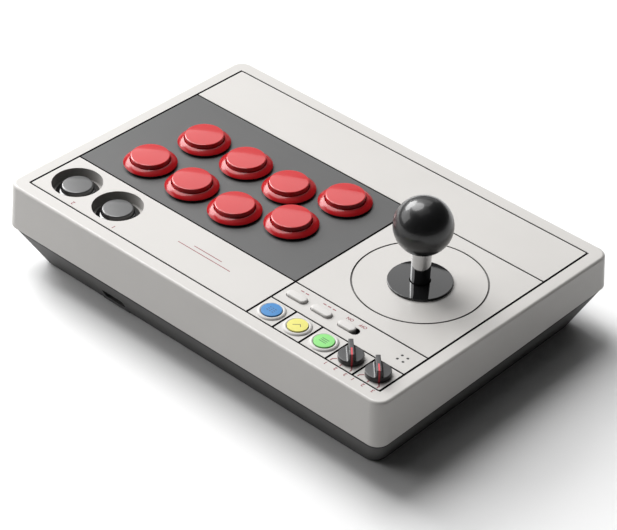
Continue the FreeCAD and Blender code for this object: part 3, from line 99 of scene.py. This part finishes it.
# Base tub: tapered lower half, injection moulded in dark grey plastic with a fine spark grain.
# Its raised inner rim carries the shell; the thin dark line between the two halves is painted shade, a
# near-black band round the base's top.
base_plastic = moulded("base_plastic", (0.082, 0.081, 0.080), (0.076, 0.075, 0.074), 0.55, 1800, 0.00002)
nodes = base_plastic.node_tree.nodes
links = base_plastic.node_tree.links
# Painted shade: above this height band the base's colour turns near-black, for the shade under the shell's
# edge.
height = nodes.new("ShaderNodeSeparateXYZ")
links.new(nodes["Texture Coordinate"].outputs["Object"], height.inputs["Vector"])
seam_shade = nodes.new("ShaderNodeMapRange")
SEAM_SHADE_LOW = 0.0243
SEAM_SHADE_HIGH = 0.0247
seam_shade.inputs["From Min"].default_value = SEAM_SHADE_LOW
seam_shade.inputs["From Max"].default_value = SEAM_SHADE_HIGH
links.new(height.outputs["Z"], seam_shade.inputs["Value"])
shaded = nodes.new("ShaderNodeMix")
shaded.data_type = "RGBA"
links.new(seam_shade.outputs["Result"], shaded.inputs["Factor"])
links.new(nodes["Color Ramp"].outputs["Color"], shaded.inputs["A"])
shaded.inputs["B"].default_value = (0.004, 0.004, 0.004, 1)
links.new(shaded.outputs["Result"], nodes["Principled BSDF"].inputs["Base Color"])
set_shader(base_plastic, "Specular IOR Level", 0.2)
dress("base_tub", base_plastic)


# Fittings inside the case: steel ballast plate, battery, boards, switches, mounting plate and screws.
# They are sealed in and show only where a gap lets the eye in.
zinc = moulded("zinc_plate", (0.52, 0.52, 0.50), (0.44, 0.44, 0.43), 0.38, 300, 0.00001)
set_shader(zinc, "Metallic", 1.0)
for node in ("ballast_plate", "case_screws", "mount_screws", "stick_mount_plate", "usb_socket"):
    dress(node, zinc)
board_lacquer = moulded("board_lacquer", (0.012, 0.085, 0.035), (0.010, 0.070, 0.028), 0.35, 700, 0.00001)
for node in ("control_board", "stick_board", "socket_board"):
    dress(node, board_lacquer)
inner_black = moulded("inner_black", (0.018, 0.018, 0.018), (0.014, 0.014, 0.014), 0.5, 1200, 0.00001)
for node in ("button_switches", "key_switches", "slide_switch_body", "rotary_switches", "lever_switches",
             "stick_housing", "stick_gate", "pivot_ball", "actuator", "washer_slip_ring"):
    dress(node, inner_black)
battery_wrap = moulded("battery_wrap", (0.02, 0.07, 0.22), (0.018, 0.06, 0.19), 0.3, 250, 0.00001)
dress("battery_pack", battery_wrap)


# Top shell: light warm-grey upper half with leaning walls and softly rounded top edges,
# moulded with a very fine grain and screwed down onto the base from below.
PANEL_MIDDLE = Vector((0, -0.0011, 0.0544))
PANEL_TILT = math.radians(2.1)


def dark_grooves(material, depth):
    """Paint shade into the grooves below a depth and their sideways walls, and onto the lips of those that
    run front to rear.
    """
    nodes = material.node_tree.nodes
    links = material.node_tree.links
    place = nodes.new("ShaderNodeTexCoord")

    def measure(operation, first, second):
        """Number from two others."""
        node = nodes.new("ShaderNodeMath")
        node.operation = operation
        for socket, item in zip(node.inputs, (first, second)):
            if isinstance(item, float):
                socket.default_value = item
            else:
                links.new(item, socket)
        return node.outputs["Value"]

    def along(direction):
        """Place along a direction, from the panel's middle."""
        node = nodes.new("ShaderNodeVectorMath")
        node.operation = "DOT_PRODUCT"
        links.new(place.outputs["Object"], node.inputs[0])
        node.inputs[1].default_value = direction
        return measure("SUBTRACT", node.outputs["Value"], Vector(direction).dot(PANEL_MIDDLE))

    def reach(point):
        """Distance from a point."""
        node = nodes.new("ShaderNodeVectorMath")
        node.operation = "DISTANCE"
        links.new(place.outputs["Object"], node.inputs[0])
        node.inputs[1].default_value = point
        return node.outputs["Value"]

    sideways = along((1.0, 0.0, 0.0))
    rise = along((0.0, math.cos(PANEL_TILT), math.sin(PANEL_TILT)))
    height = along((0.0, -math.sin(PANEL_TILT), math.cos(PANEL_TILT)))

    # Painted shade: groove walls that face sideways, and all that lies below the depth, inside the plate's
    # outline.
    wall_facing = 0.55
    wall_depth = 0.00004
    half_length = 0.1418
    half_width = 0.0915
    facing = nodes.new("ShaderNodeSeparateXYZ")
    links.new(place.outputs["Normal"], facing.inputs["Vector"])
    walls = measure("GREATER_THAN", measure("ABSOLUTE", facing.outputs["X"], 0.0), wall_facing)
    walls = measure("MULTIPLY", walls, measure("LESS_THAN", height, -wall_depth))
    mask = measure("MAXIMUM", walls, measure("LESS_THAN", height, -depth))
    mask = measure("MULTIPLY", mask, measure("LESS_THAN", measure("ABSOLUTE", sideways, 0.0), half_length))
    mask = measure("MULTIPLY", mask, measure("LESS_THAN", measure("ABSOLUTE", rise, 0.0), half_width))

    # The wells get no painted shade, and the ring groove gets less of it.
    well_reach = 0.0186
    for x in (0.0860, 0.1212):
        mask = measure("MULTIPLY", mask, measure("GREATER_THAN", reach((x, 0.0695, 0.0533)), well_reach))
    lever_place = (-0.090675, PANEL_MIDDLE.y, PANEL_MIDDLE.z)
    ring_radius = 0.03950
    ring_half_width = 0.0013
    ring_share = 0.7
    ring_side = measure("ABSOLUTE", measure("SUBTRACT", reach(lever_place), ring_radius), 0.0)
    off_ring = measure("GREATER_THAN", ring_side, ring_half_width)
    mask = measure("MULTIPLY", mask, measure("MAXIMUM", off_ring, ring_share))

    # Painted shade on the lips of the grooves that run front to rear, each as (place across, front end, rear
    # end).
    pitch = 0.02015
    plate_end = 0.091
    lip_half_width = 0.00074
    lip_depth = 0.003
    lips = [(-7 * pitch, -plate_end, plate_end), (7 * pitch, -plate_end, plate_end)]
    lips += [(-2 * pitch, -2.5 * pitch, plate_end)]
    lips += [(-cell * pitch, 3.5 * pitch, plate_end) for cell in (3, 4, 5, 6)]
    for x, front, rear in lips:
        off_line = measure("ABSOLUTE", measure("SUBTRACT", sideways, x), 0.0)
        lip = measure("LESS_THAN", off_line, lip_half_width)
        lip = measure("MULTIPLY", lip, measure("GREATER_THAN", rise, front))
        lip = measure("MULTIPLY", lip, measure("LESS_THAN", rise, rear))
        lip = measure("MULTIPLY", lip, measure("GREATER_THAN", height, -lip_depth))
        mask = measure("MAXIMUM", mask, lip)

    # Painted shade: where the mask is set, the colour turns near-black and the gloss dulls.
    shader = nodes["Principled BSDF"]
    groove_shade_colour = (0.003, 0.003, 0.003, 1)
    plain = shader.inputs["Base Color"].links[0].from_socket
    mix = nodes.new("ShaderNodeMix")
    mix.data_type = "RGBA"
    links.new(mask, mix.inputs["Factor"])
    links.new(plain, mix.inputs["A"])
    mix.inputs["B"].default_value = groove_shade_colour
    links.new(mix.outputs["Result"], shader.inputs["Base Color"])
    groove_roughness = 0.95
    rough = shader.inputs["Roughness"].links[0].from_socket
    dull = measure("MULTIPLY", mask, groove_roughness)
    links.new(measure("MAXIMUM", rough, dull), shader.inputs["Roughness"])


shell_plastic = moulded("shell_plastic", (0.455, 0.441, 0.424), (0.445, 0.431, 0.414), 0.45, 2200, 0.000006,
                        0.25, 0.12)
set_shader(shell_plastic, "Specular IOR Level", 0.35)
# Painted shade in the grooves and on the lips of the front-to-rear ones.
dark_grooves(shell_plastic, 0.0004)
dress("top_shell", shell_plastic)


# Face plate: light grey plate let into the shell's top, with its grid of straight moulded grooves,
# a ring groove round the lever, and two cup-shaped wells. It is dressed as the shell is, with painted shade
# in its grooves.
dress("face_plate", shell_plastic)


# Button panel: mid-grey inlay under the eight big buttons, a thin satin sheet set flush in the plate.
# It lies in a shallow recess of the plate, and its edges carry painted shade where they face the grooves.
panel_grey = moulded("panel_grey", (0.054, 0.054, 0.054), (0.051, 0.051, 0.051), 0.38, 2000, 0.000006)
dark_grooves(panel_grey, 0.00004)
dress("button_panel", panel_grey)


# Main buttons: eight red snap-in press buttons. Each is a domed glossy ring that stands on the panel
# and a flat plunger with a rounded edge that slides in it on a spring.
PANEL = Matrix.Translation(PANEL_MIDDLE) @ Matrix.Rotation(PANEL_TILT, 4, "X")
MM = Matrix.Scale(0.001, 4)


def finish_piece(bm, name, place, material, body):
    """Turn a bmesh in panel millimetres into a finished piece that rides on a body."""
    bmesh.ops.remove_doubles(bm, verts=bm.verts, dist=1e-5)
    bmesh.ops.recalc_face_normals(bm, faces=bm.faces)
    bmesh.ops.transform(bm, matrix=PANEL @ MM @ Matrix.Translation(place), verts=bm.verts)
    mesh = bpy.data.meshes.new(name)
    bm.to_mesh(mesh)
    bm.free()
    mesh.shade_smooth()
    mesh.set_sharp_from_angle(angle=math.radians(32))
    mesh.materials.append(material)
    piece = bpy.data.objects.new(name, mesh)
    bpy.context.scene.collection.objects.link(piece)
    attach(piece, body)
    return piece


def turn_piece(corners, closed, steps=96):
    """Spin a half section of (radius, height, rounding) corners about the panel's normal."""
    bm = bmesh.new()
    points = [bm.verts.new((radius, 0, height)) for radius, height, _ in corners]
    pairs = list(zip(points, points[1:]))
    if closed:
        pairs.append((points[-1], points[0]))
    edges = [bm.edges.new(pair) for pair in pairs]
    bmesh.ops.spin(bm, geom=points + edges, cent=(0, 0, 0), axis=(0, 0, 1), dvec=(0, 0, 0),
                   angle=math.tau, steps=steps, use_merge=True, use_duplicate=False)
    bmesh.ops.remove_doubles(bm, verts=bm.verts, dist=1e-5)
    bmesh.ops.recalc_face_normals(bm, faces=bm.faces)
    for radius, height, rounding in corners:
        if rounding:
            near = {vert for vert in bm.verts
                    if abs(vert.co.z - height) < 1e-4 and abs(vert.co.xy.length - radius) < 1e-3}
            ring = [edge for edge in bm.edges if near.issuperset(edge.verts)]
            bmesh.ops.bevel(bm, geom=ring, offset=rounding, offset_type="OFFSET", affect="EDGES",
                            segments=8, profile=0.5, material=-1, clamp_overlap=True)
    return bm


def arc(start, end, radius, steps):
    """Section points on an arc that bulges outward and up, after its start and up to its end."""
    first = Vector(start)
    last = Vector(end)
    chord = last - first
    left = Vector((-chord.y, chord.x)).normalized()
    centre = (first + last) / 2 + left * math.sqrt(max(radius ** 2 - (chord.length / 2) ** 2, 0))
    begin = math.atan2(first.y - centre.y, first.x - centre.x)
    turn = 2 * math.asin(min(1.0, chord.length / 2 / radius))
    return [(centre.x + radius * math.cos(begin + turn * step / steps),
             centre.y + radius * math.sin(begin + turn * step / steps), 0) for step in range(1, steps + 1)]


def dome(edge, top, curve, crown):
    """Section of a cap's top from its axis out: shallow dome, then the rounded edge down to the side."""
    flat = edge - curve
    sphere = (flat ** 2 + crown ** 2) / (2 * crown)
    points = [(edge, top - curve, 0)] + arc((edge, top - curve), (flat, top), curve, 8)
    points += arc((flat, top), (0, top + crown), sphere, 12)
    return [(max(radius, 0), height, 0) for radius, height, _ in reversed(points)]


red_gloss = moulded("red_gloss", (0.45, 0.015, 0.018), (0.435, 0.014, 0.017), 0.11, 500, 0.000001, 0.35, 0.04)
# Painted shade: the rings' red is a darker copy of the caps' red.
shaded_ring_red = moulded("shaded_ring_red", (0.345, 0.009, 0.012), (0.33, 0.008, 0.011), 0.18, 500, 0.000001)
set_shader(shaded_ring_red, "Specular IOR Level", 0.25)
black_gloss = moulded("black_gloss", (0.008, 0.008, 0.0085), (0.007, 0.007, 0.0075), 0.12, 400, 0.000001,
                      0.3, 0.04)
FIRST_ROW = [(0.0, 11.5), (33.1, 25.4), (69.0, 25.4), (104.9, 25.4)]
main_places = FIRST_ROW + [(x - 7.0, y - 39.2) for x, y in FIRST_ROW]
for number, (x, y) in enumerate(main_places, start=1):
    name = "main_button_%d" % number
    rim = [(15.8, 0, 0), (15.8, 1.28, 0), (16.6, 1.6, 0.12)] + arc((16.6, 1.6), (12.75, 3.9), 9.0, 12)
    bore = [(12.5, 3.75, 0), (12.5, -16.4, 0), (3.6, -16.4, 0), (3.6, -18, 0)]
    barrel = [(14.85, -18, 0), (14.85, 0, 0)]
    ring = turn_piece(rim + bore + barrel, True)
    piece = finish_piece(ring, name + "_ring", (x, y, 0), shaded_ring_red, "case")
    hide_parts(name + "_housing")
    # Painted shade: a thin black ring at the foot of each red ring, for the shade under its rim.
    foot_shade = turn_piece([(15.7, 0, 0), (16.0, 0, 0), (16.0, 1.2, 0.1), (15.7, 1.2, 0)], True)
    finish_piece(foot_shade, name + "_seal", (x, y, 0), black_gloss, "case")
    skirt = [(12.15, -8, 0), (10.35, -8, 0), (10.35, 4.9, 0)]
    stem = [(3.2, 4.9, 0), (3.2, -14.25, 0), (0, -14.25, 0)]
    cap = turn_piece(dome(12.15, 6.7, 0.7, 0.35) + skirt + stem, False)
    piece = finish_piece(cap, name + "_cap", (x, y, 0), red_gloss, name)
    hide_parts(name + "_plunger")


# Function buttons: two smaller press buttons of glossy black plastic, sunk in the plate's wells
# so that they are not pressed by mistake.
black_satin = moulded("black_satin", (0.030, 0.030, 0.031), (0.027, 0.027, 0.028), 0.33, 900, 0.0000002,
                      0.72, 0.05)
WELL_ROW = 70.525
WELL_FLOOR = -7.4
for number, x in enumerate((86.0, 121.2), start=1):
    name = "function_button_%d" % number
    place = (x, WELL_ROW, WELL_FLOOR)
    rim = [(12.9, 0, 0), (12.9, 0.72, 0), (13.4, 0.9, 0.1)] + arc((13.4, 0.9), (10.15, 3.2), 6.5, 12)
    bore = [(9.9, 3.05, 0), (9.9, -14.4, 0), (3.0, -14.4, 0), (3.0, -16, 0)]
    barrel = [(11.85, -16, 0), (11.85, 0, 0)]
    ring = turn_piece(rim + bore + barrel, True)
    piece = finish_piece(ring, name + "_ring", place, black_gloss, "case")
    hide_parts(name + "_housing")
    skirt = [(9.55, -6, 0), (7.75, -6, 0), (7.75, 4.3, 0)]
    stem = [(2.6, 4.3, 0), (2.6, -12.65, 0), (0, -12.65, 0)]
    cap = turn_piece(dome(9.55, 6.1, 0.9, 0.3) + skirt + stem, False)
    piece = finish_piece(cap, name + "_cap", place, black_satin, name)
    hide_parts(name + "_plunger")


# Round keys: three coloured discs, each in a soft domed collar of light plastic let into its square cell.
# A thin black ring in the gap between disc and collar is painted shade.
CELL = 20.15
KEY_ROW = 80.6
key_plastic = moulded("key_plastic", (0.50, 0.487, 0.472), (0.49, 0.477, 0.462), 0.5, 1500, 0.000004)
set_shader(key_plastic, "Specular IOR Level", 0.3)
round_colours = {"blue": (-2.5, (0.046, 0.190, 0.43)), "yellow": (-3.5, (0.60, 0.56, 0.145)),
                 "green": (-4.5, (0.205, 0.55, 0.165))}
for colour, (cell, tone) in round_colours.items():
    place = (cell * CELL, KEY_ROW, 0)
    crest = [(8.6, 0, 0)] + arc((8.6, 0), (7.1, 1.1), 1.9, 12)
    collar = turn_piece(crest + [(6.4, 0.75, 0), (6.4, -4.2, 0), (7.5, -4.2, 0), (7.5, 0, 0)], True)
    finish_piece(collar, colour + "_collar", place, key_plastic, "case")
    shade = tuple(0.94 * part for part in tone)
    disc_plastic = moulded(colour + "_plastic", tone, shade, 0.4, 1500, 0.000003)
    set_shader(disc_plastic, "Specular IOR Level", 0.25)
    # Painted shade: black ring filling the gap between disc and collar.
    gap_shade = turn_piece([(6.13, -4, 0), (6.39, -4, 0), (6.39, 0.55, 0), (6.13, 0.55, 0)], True)
    finish_piece(gap_shade, colour + "_liner", place, inner_black, "case")
    disc = turn_piece([(0, 1.5, 0), (6.05, 1.5, 0.3), (6.05, -4.6, 0), (0, -4.6, 0)], False)
    piece = finish_piece(disc, colour + "_disc", place, disc_plastic, colour + "_key")
    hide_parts(colour + "_button")
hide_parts("round_bezels")


# Pill keys and slide switch: light plastic caps with soft tops that stand out of close-fitting slots.
# A flange under the plate keeps each one in.
def rounded_block(length, width, low, high, corner, top_round, segments=8):
    """Block with rounded upright corners and a softened top edge, centred on the panel's normal."""
    bm = bmesh.new()
    bmesh.ops.create_cube(bm, size=1)
    bmesh.ops.scale(bm, vec=(length, width, high - low), verts=bm.verts)
    bmesh.ops.translate(bm, vec=(0, 0, (high + low) / 2), verts=bm.verts)
    if corner:
        uprights = [edge for edge in bm.edges if abs(edge.verts[0].co.z - edge.verts[1].co.z) > 1e-4]
        bmesh.ops.bevel(bm, geom=uprights, offset=corner, offset_type="OFFSET", affect="EDGES",
                        segments=segments, profile=0.5, material=-1, clamp_overlap=True)
    if top_round:
        rim = [edge for edge in bm.edges if all(abs(vert.co.z - high) < 1e-4 for vert in edge.verts)]
        bmesh.ops.bevel(bm, geom=rim, offset=top_round, offset_type="OFFSET", affect="EDGES",
                        segments=6, profile=0.5, material=-1, clamp_overlap=True)
    return bm


PILL_ROW = 61.0
pill_places = {"start": -51.6, "select": -70.6}
for label, x in pill_places.items():
    cap = rounded_block(14.4, 5.6, -4.6, 1.7, 2.7, 1.1)
    piece = finish_piece(cap, label + "_cap", (x, PILL_ROW, 0), key_plastic, label + "_key")
    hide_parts(label + "_button")
cap = rounded_block(12.0, 5.6, -4.6, 1.5, 2.7, 1.1)
piece = finish_piece(cap, "slide_cap", (-89.9, PILL_ROW, 0), key_plastic, "slide_thumb")
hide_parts("slide_knob")


# Selector knobs: two dark turn knobs, each a round base with a tall pointer blade on a scooped foot.
# A red line is let into the pointing half of the blade and runs down its end and the base's rim.
knob_turn = Matrix.Rotation(math.radians(45), 3, "Z")
selector_cells = {"left": -6.5, "right": -5.5}
knob_plastic = moulded("knob_plastic", (0.030, 0.030, 0.031), (0.026, 0.026, 0.027), 0.32, 900, 0.000003)
mark_red = moulded("mark_red", (0.50, 0.030, 0.045), (0.47, 0.026, 0.041), 0.4, 900, 0.000002)
blade_half = 1.4
scoop_radius = 1.5
base_top = 3.3
foot_half = blade_half + scoop_radius
foot_low = 3.2
foot_half_length = 6.7
scoop_angles = [step * math.pi / 16 for step in range(9)]
for side, cell in selector_cells.items():
    place = (cell * CELL, KEY_ROW, 0)
    disc = turn_piece([(0, base_top, 0), (7.45, base_top, 0.35), (7.45, 0.3, 0.2), (3.0, 0.3, 0),
                       (3.0, -3.35, 0), (0, -3.35, 0)], False)
    piece = finish_piece(disc, side + "_knob_base", place, knob_plastic, side + "_selector")
    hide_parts(side + "_knob")
    blade = rounded_block(2 * blade_half, 14.4, 3.0, 8.4, 0.25, 0.3, 3)
    bmesh.ops.rotate(blade, cent=(0, 0, 0), matrix=knob_turn, verts=blade.verts)
    finish_piece(blade, side + "_knob_blade", place, knob_plastic, side + "_selector")
    foot = bmesh.new()
    scoop = [(blade_half + scoop_radius * (1 - math.sin(angle)),
              base_top + scoop_radius * (1 - math.cos(angle))) for angle in scoop_angles]
    outline = [(-across, height) for across, height in scoop] + list(reversed(scoop))
    outline += [(foot_half, foot_low), (-foot_half, foot_low)]
    ends = [[foot.verts.new((across, along, height)) for across, height in outline]
            for along in (-foot_half_length, foot_half_length)]
    foot.faces.new(ends[0])
    foot.faces.new(list(reversed(ends[1])))
    for here in range(len(outline)):
        after = (here + 1) % len(outline)
        foot.faces.new((ends[0][after], ends[0][here], ends[1][here], ends[1][after]))
    bmesh.ops.recalc_face_normals(foot, faces=foot.faces)
    bmesh.ops.rotate(foot, cent=(0, 0, 0), matrix=knob_turn, verts=foot.verts)
    finish_piece(foot, side + "_knob_foot", place, knob_plastic, side + "_selector")
    for part, length, low, high, middle in (("top", 6.2, 8.3, 8.44, 4.0), ("end", 0.12, 3.2, 8.4, 7.22),
                                            ("rim", 0.5, 0.35, 3.32, 7.27)):
        line = rounded_block(1.0, length, low, high, 0, 0)
        bmesh.ops.translate(line, vec=(0, middle, 0), verts=line.verts)
        bmesh.ops.rotate(line, cent=(0, 0, 0), matrix=knob_turn, verts=line.verts)
        finish_piece(line, side + "_knob_line_" + part, place, mark_red, side + "_selector")


# Indicator lights: one smoked clear moulding whose four pins end flush with the plate.
# It sits under the plate, above the control board.
smoked = moulded("smoked_clear", (0.05, 0.05, 0.05), (0.04, 0.04, 0.04), 0.25, 600, 0.000002)
dress("light_guide", smoked)


# Joystick: glossy black ball screwed on a steel shaft inside a polished cover tube,
# with a loose glossy dust washer that covers the hole in the plate.
chrome = moulded("polished_chrome", (0.50, 0.50, 0.505), (0.48, 0.48, 0.485), 0.05, 400, 0.0000002)
set_shader(chrome, "Metallic", 1.0)
satin_steel = moulded("satin_steel", (0.74, 0.74, 0.74), (0.70, 0.70, 0.70), 0.3, 700, 0.000003)
set_shader(satin_steel, "Metallic", 1.0)
for node in ("lever_shaft", "retaining_clip", "return_spring"):
    dress(node, satin_steel)
STICK = (-90.675, 0, 0)
ball = bmesh.new()
ball_radius = 17.5
ball_height = 39.3
ball_flat = 8.6
bmesh.ops.create_uvsphere(ball, u_segments=128, v_segments=96, radius=ball_radius)
bmesh.ops.translate(ball, vec=(0, 0, ball_height), verts=ball.verts)
ball_low = ball_height - math.sqrt(ball_radius ** 2 - ball_flat ** 2)
cut = bmesh.ops.bisect_plane(ball, geom=ball.verts[:] + ball.edges[:] + ball.faces[:],
                             plane_co=(0, 0, ball_low), plane_no=(0, 0, -1), clear_outer=True)
flat_edges = [item for item in cut["geom_cut"] if isinstance(item, bmesh.types.BMEdge)]
bmesh.ops.contextual_create(ball, geom=flat_edges)
ball_lacquer = moulded("ball_lacquer", (0.010, 0.010, 0.0105), (0.009, 0.009, 0.0095), 0.32, 300, 0.0000005,
                       0.40, 0.03)
set_shader(ball_lacquer, "Specular IOR Level", 0.33)
piece = finish_piece(ball, "ball_knob", STICK, ball_lacquer, "lever")
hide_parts("ball_top")
tube = turn_piece([(3.05, -2.5, 0), (5.8, -2.5, 0.2), (5.8, ball_low, 0), (3.05, ball_low, 0)], True)
piece = finish_piece(tube, "cover_tube", STICK, chrome, "lever")
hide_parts("shaft_cover")
washer = turn_piece([(6.3, 0, 0), (19.1, 0, 0), (19.1, 1.4, 0.35), (6.3, 1.4, 0)], True, 128)
washer_black = moulded("washer_black", (0.008, 0.008, 0.0085), (0.007, 0.007, 0.0075), 0.05, 400, 0.0000002)
set_shader(washer_black, "IOR", 1.6)
piece = finish_piece(washer, "dust_disc", STICK, washer_black, "washer")
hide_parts("dust_washer")


# Printed marks: thin dark red ink, pad printed on the plate and the shell's rear rim.
# Plain figures number the positions, dashes mark the pill keys, and ON and OFF name the slide switch's ends.
# The signs on the round keys are dark ink and ride with the keys.
red_ink = moulded("red_ink", (0.20, 0.016, 0.026), (0.18, 0.014, 0.023), 0.5, 2500, 0.000001)


def print_words(name, words, height, place):
    """Plain printed figures or words, upright for the player."""
    curve = bpy.data.curves.new(name, "FONT")
    curve.body = words
    curve.size = height / 0.7
    curve.align_x = "CENTER"
    curve.align_y = "CENTER"
    curve.offset = 0.07
    curve.extrude = 0.015
    holder = bpy.data.objects.new(name, curve)
    bpy.context.scene.collection.objects.link(holder)
    bpy.context.view_layer.update()
    mesh = bpy.data.meshes.new_from_object(holder.evaluated_get(bpy.context.evaluated_depsgraph_get()))
    bpy.data.objects.remove(holder)
    letters = bmesh.new()
    letters.from_mesh(mesh)
    bpy.data.meshes.remove(mesh)
    finish_piece(letters, name, (place[0], place[1], 0.02), red_ink, "case")


def print_line(name, points, width, ink=red_ink, body="case", lift=0.02):
    """Printed line through panel points, one straight run after another."""
    line = bmesh.new()
    for start, end in zip(points, points[1:]):
        run = Vector(end) - Vector(start)
        middle = (Vector(start) + Vector(end)) / 2
        move = Matrix.Translation((middle.x, middle.y, lift))
        turn = Matrix.Rotation(math.atan2(run.y, run.x), 4, "Z")
        stretch = Matrix.Diagonal((run.length + width * 0.6, width, 0.03, 1))
        bmesh.ops.create_cube(line, size=1, matrix=move @ turn @ stretch)
    finish_piece(line, name, (0, 0, 0), ink, body)


for number, x in ((1, 72.0), (2, 107.0)):
    print_words("player_figure_%d" % number, str(number), 2.8, (x, 87.0))
print_line("title_rule_long", [(-7, 70.2), (35, 70.2)], 0.55)
print_line("title_rule_short", [(3, 66.8), (25, 66.8)], 0.55)
LABEL_ROW = 54.4
for label, dashes in (("start", 2), ("select", 3)):
    for number in range(dashes):
        x = pill_places[label] + 3.6 * (number - (dashes - 1) / 2)
        print_line("%s_dash_%d" % (label, number), [(x - 1.0, LABEL_ROW), (x + 1.0, LABEL_ROW)], 0.7)
print_words("slide_word_on", "ON", 2.1, (-86.5, LABEL_ROW))
print_words("slide_word_off", "OFF", 2.1, (-96.3, LABEL_ROW))
for side, cell in selector_cells.items():
    x = cell * CELL
    print_line(side + "_tick_1", [(x + 5.5, 86.1), (x + 7.2, 87.8), (x + 7.2, 89.4)], 0.7)
    print_line(side + "_tick_2", [(x, 88.2), (x, 89.6)], 0.7)
    print_line(side + "_tick_3", [(x - 5.5, 86.1), (x - 7.2, 87.8), (x - 7.2, 89.4)], 0.7)
    for number in (1, 2, 3):
        print_words("%s_figure_%d" % (side, number), str(number), 2.5, (x + 7.3 * (2 - number), 93.1))
dark_ink = moulded("dark_ink", (0.03, 0.035, 0.04), (0.025, 0.03, 0.035), 0.5, 2500, 0.000001)
key_signs = {
    "blue": [[(dx - 0.45, dy), (dx + 0.45, dy)] for dx in (-2.0, 0.0, 2.0) for dy in (-1.5, 0.0, 1.5)],
    "yellow": [[(-2.4, 0.3), (-0.8, -1.3), (2.3, 1.6)]],
    "green": [[(-2.4, -1.4), (2.4, -1.4)], [(-2.4, 0.0), (2.4, 0.0)], [(-2.4, 1.4), (2.4, 1.4)]],
}
for colour, strokes in key_signs.items():
    x = round_colours[colour][0] * CELL
    for number, stroke in enumerate(strokes):
        points = [(x + dx, KEY_ROW + dy) for dx, dy in stroke]
        print_line("%s_sign_%d" % (colour, number), points, 0.42, dark_ink, colour + "_key", 1.51)


# Photographer's table: plain white sweep, two oval keys from the left of the picture, a fill for the
# rear wall and one overhead, a wide and a low box behind the object that the glossy parts mirror,
# and the camera at the photograph's place.
sweep = bmesh.new()
bmesh.ops.create_grid(sweep, x_segments=1, y_segments=1, size=6)
sweep_mesh = bpy.data.meshes.new("sweep")
sweep.to_mesh(sweep_mesh)
sweep.free()
floor = bpy.data.objects.new("sweep", sweep_mesh)
bpy.context.scene.collection.objects.link(floor)
paper = bpy.data.materials.new("white_paper")
paper.use_nodes = True
set_shader(paper, "Base Color", (0.76, 0.76, 0.76, 1))
set_shader(paper, "Roughness", 0.9)
sweep_mesh.materials.append(paper)


def soft_box(name, place, target, width, height, power, roll=0.0, shape="RECTANGLE"):
    """Soft light at a place, facing a target and rolled about its own axis."""
    data = bpy.data.lights.new(name, "AREA")
    data.shape = shape
    data.size = width
    data.size_y = height
    data.energy = power
    lamp = bpy.data.objects.new(name, data)
    lamp.location = place
    lamp.rotation_euler = (Vector(target) - Vector(place)).to_track_quat("-Z", "Y").to_euler()
    lamp.rotation_euler.rotate_axis("Z", math.radians(roll))
    bpy.context.scene.collection.objects.link(lamp)


soft_box("key", (2.60, -0.45, 1.74), (0, 0, 0.03), 2.1, 1.4, 84, 0.0, "ELLIPSE")
soft_box("high_key", (1.60, -0.38, 2.98), (0, 0, 0.03), 2.2, 2.2, 96, 0.0, "ELLIPSE")
soft_box("rear_fill", (1.90, 1.05, 1.20), (0, 0, 0.03), 2.0, 1.4, 28)
soft_box("back_box", (1.43, -1.08, 1.86), (0, 0, 0.05), 2.75, 1.6, 22.5, -21)
soft_box("top_fill", (0.30, -0.10, 2.30), (0, 0, 0.05), 1.8, 1.8, 4.0)
soft_box("low_box", (1.40, -1.60, 0.80), (0, 0, 0.05), 2.4, 0.8, 3.2)
world = bpy.data.worlds.new("studio")
world.use_nodes = True
world.node_tree.nodes["Background"].inputs["Color"].default_value = (1, 1, 1, 1)
world.node_tree.nodes["Background"].inputs["Strength"].default_value = 0.03
bpy.context.scene.world = world
bpy.context.scene.view_settings.view_transform = "Standard"

lens = bpy.data.cameras.new("camera")
lens.lens = 150.47
lens.sensor_width = 36
lens.clip_end = 20
camera = bpy.data.objects.new("camera", lens)
camera.location = (-0.84223, 0.8906, 0.96028)
back = Vector((-0.54365, 0.57767, 0.60889)).normalized()
camera.rotation_euler = back.to_track_quat("Z", "Y").to_euler()
bpy.context.scene.collection.objects.link(camera)
bpy.context.scene.camera = camera
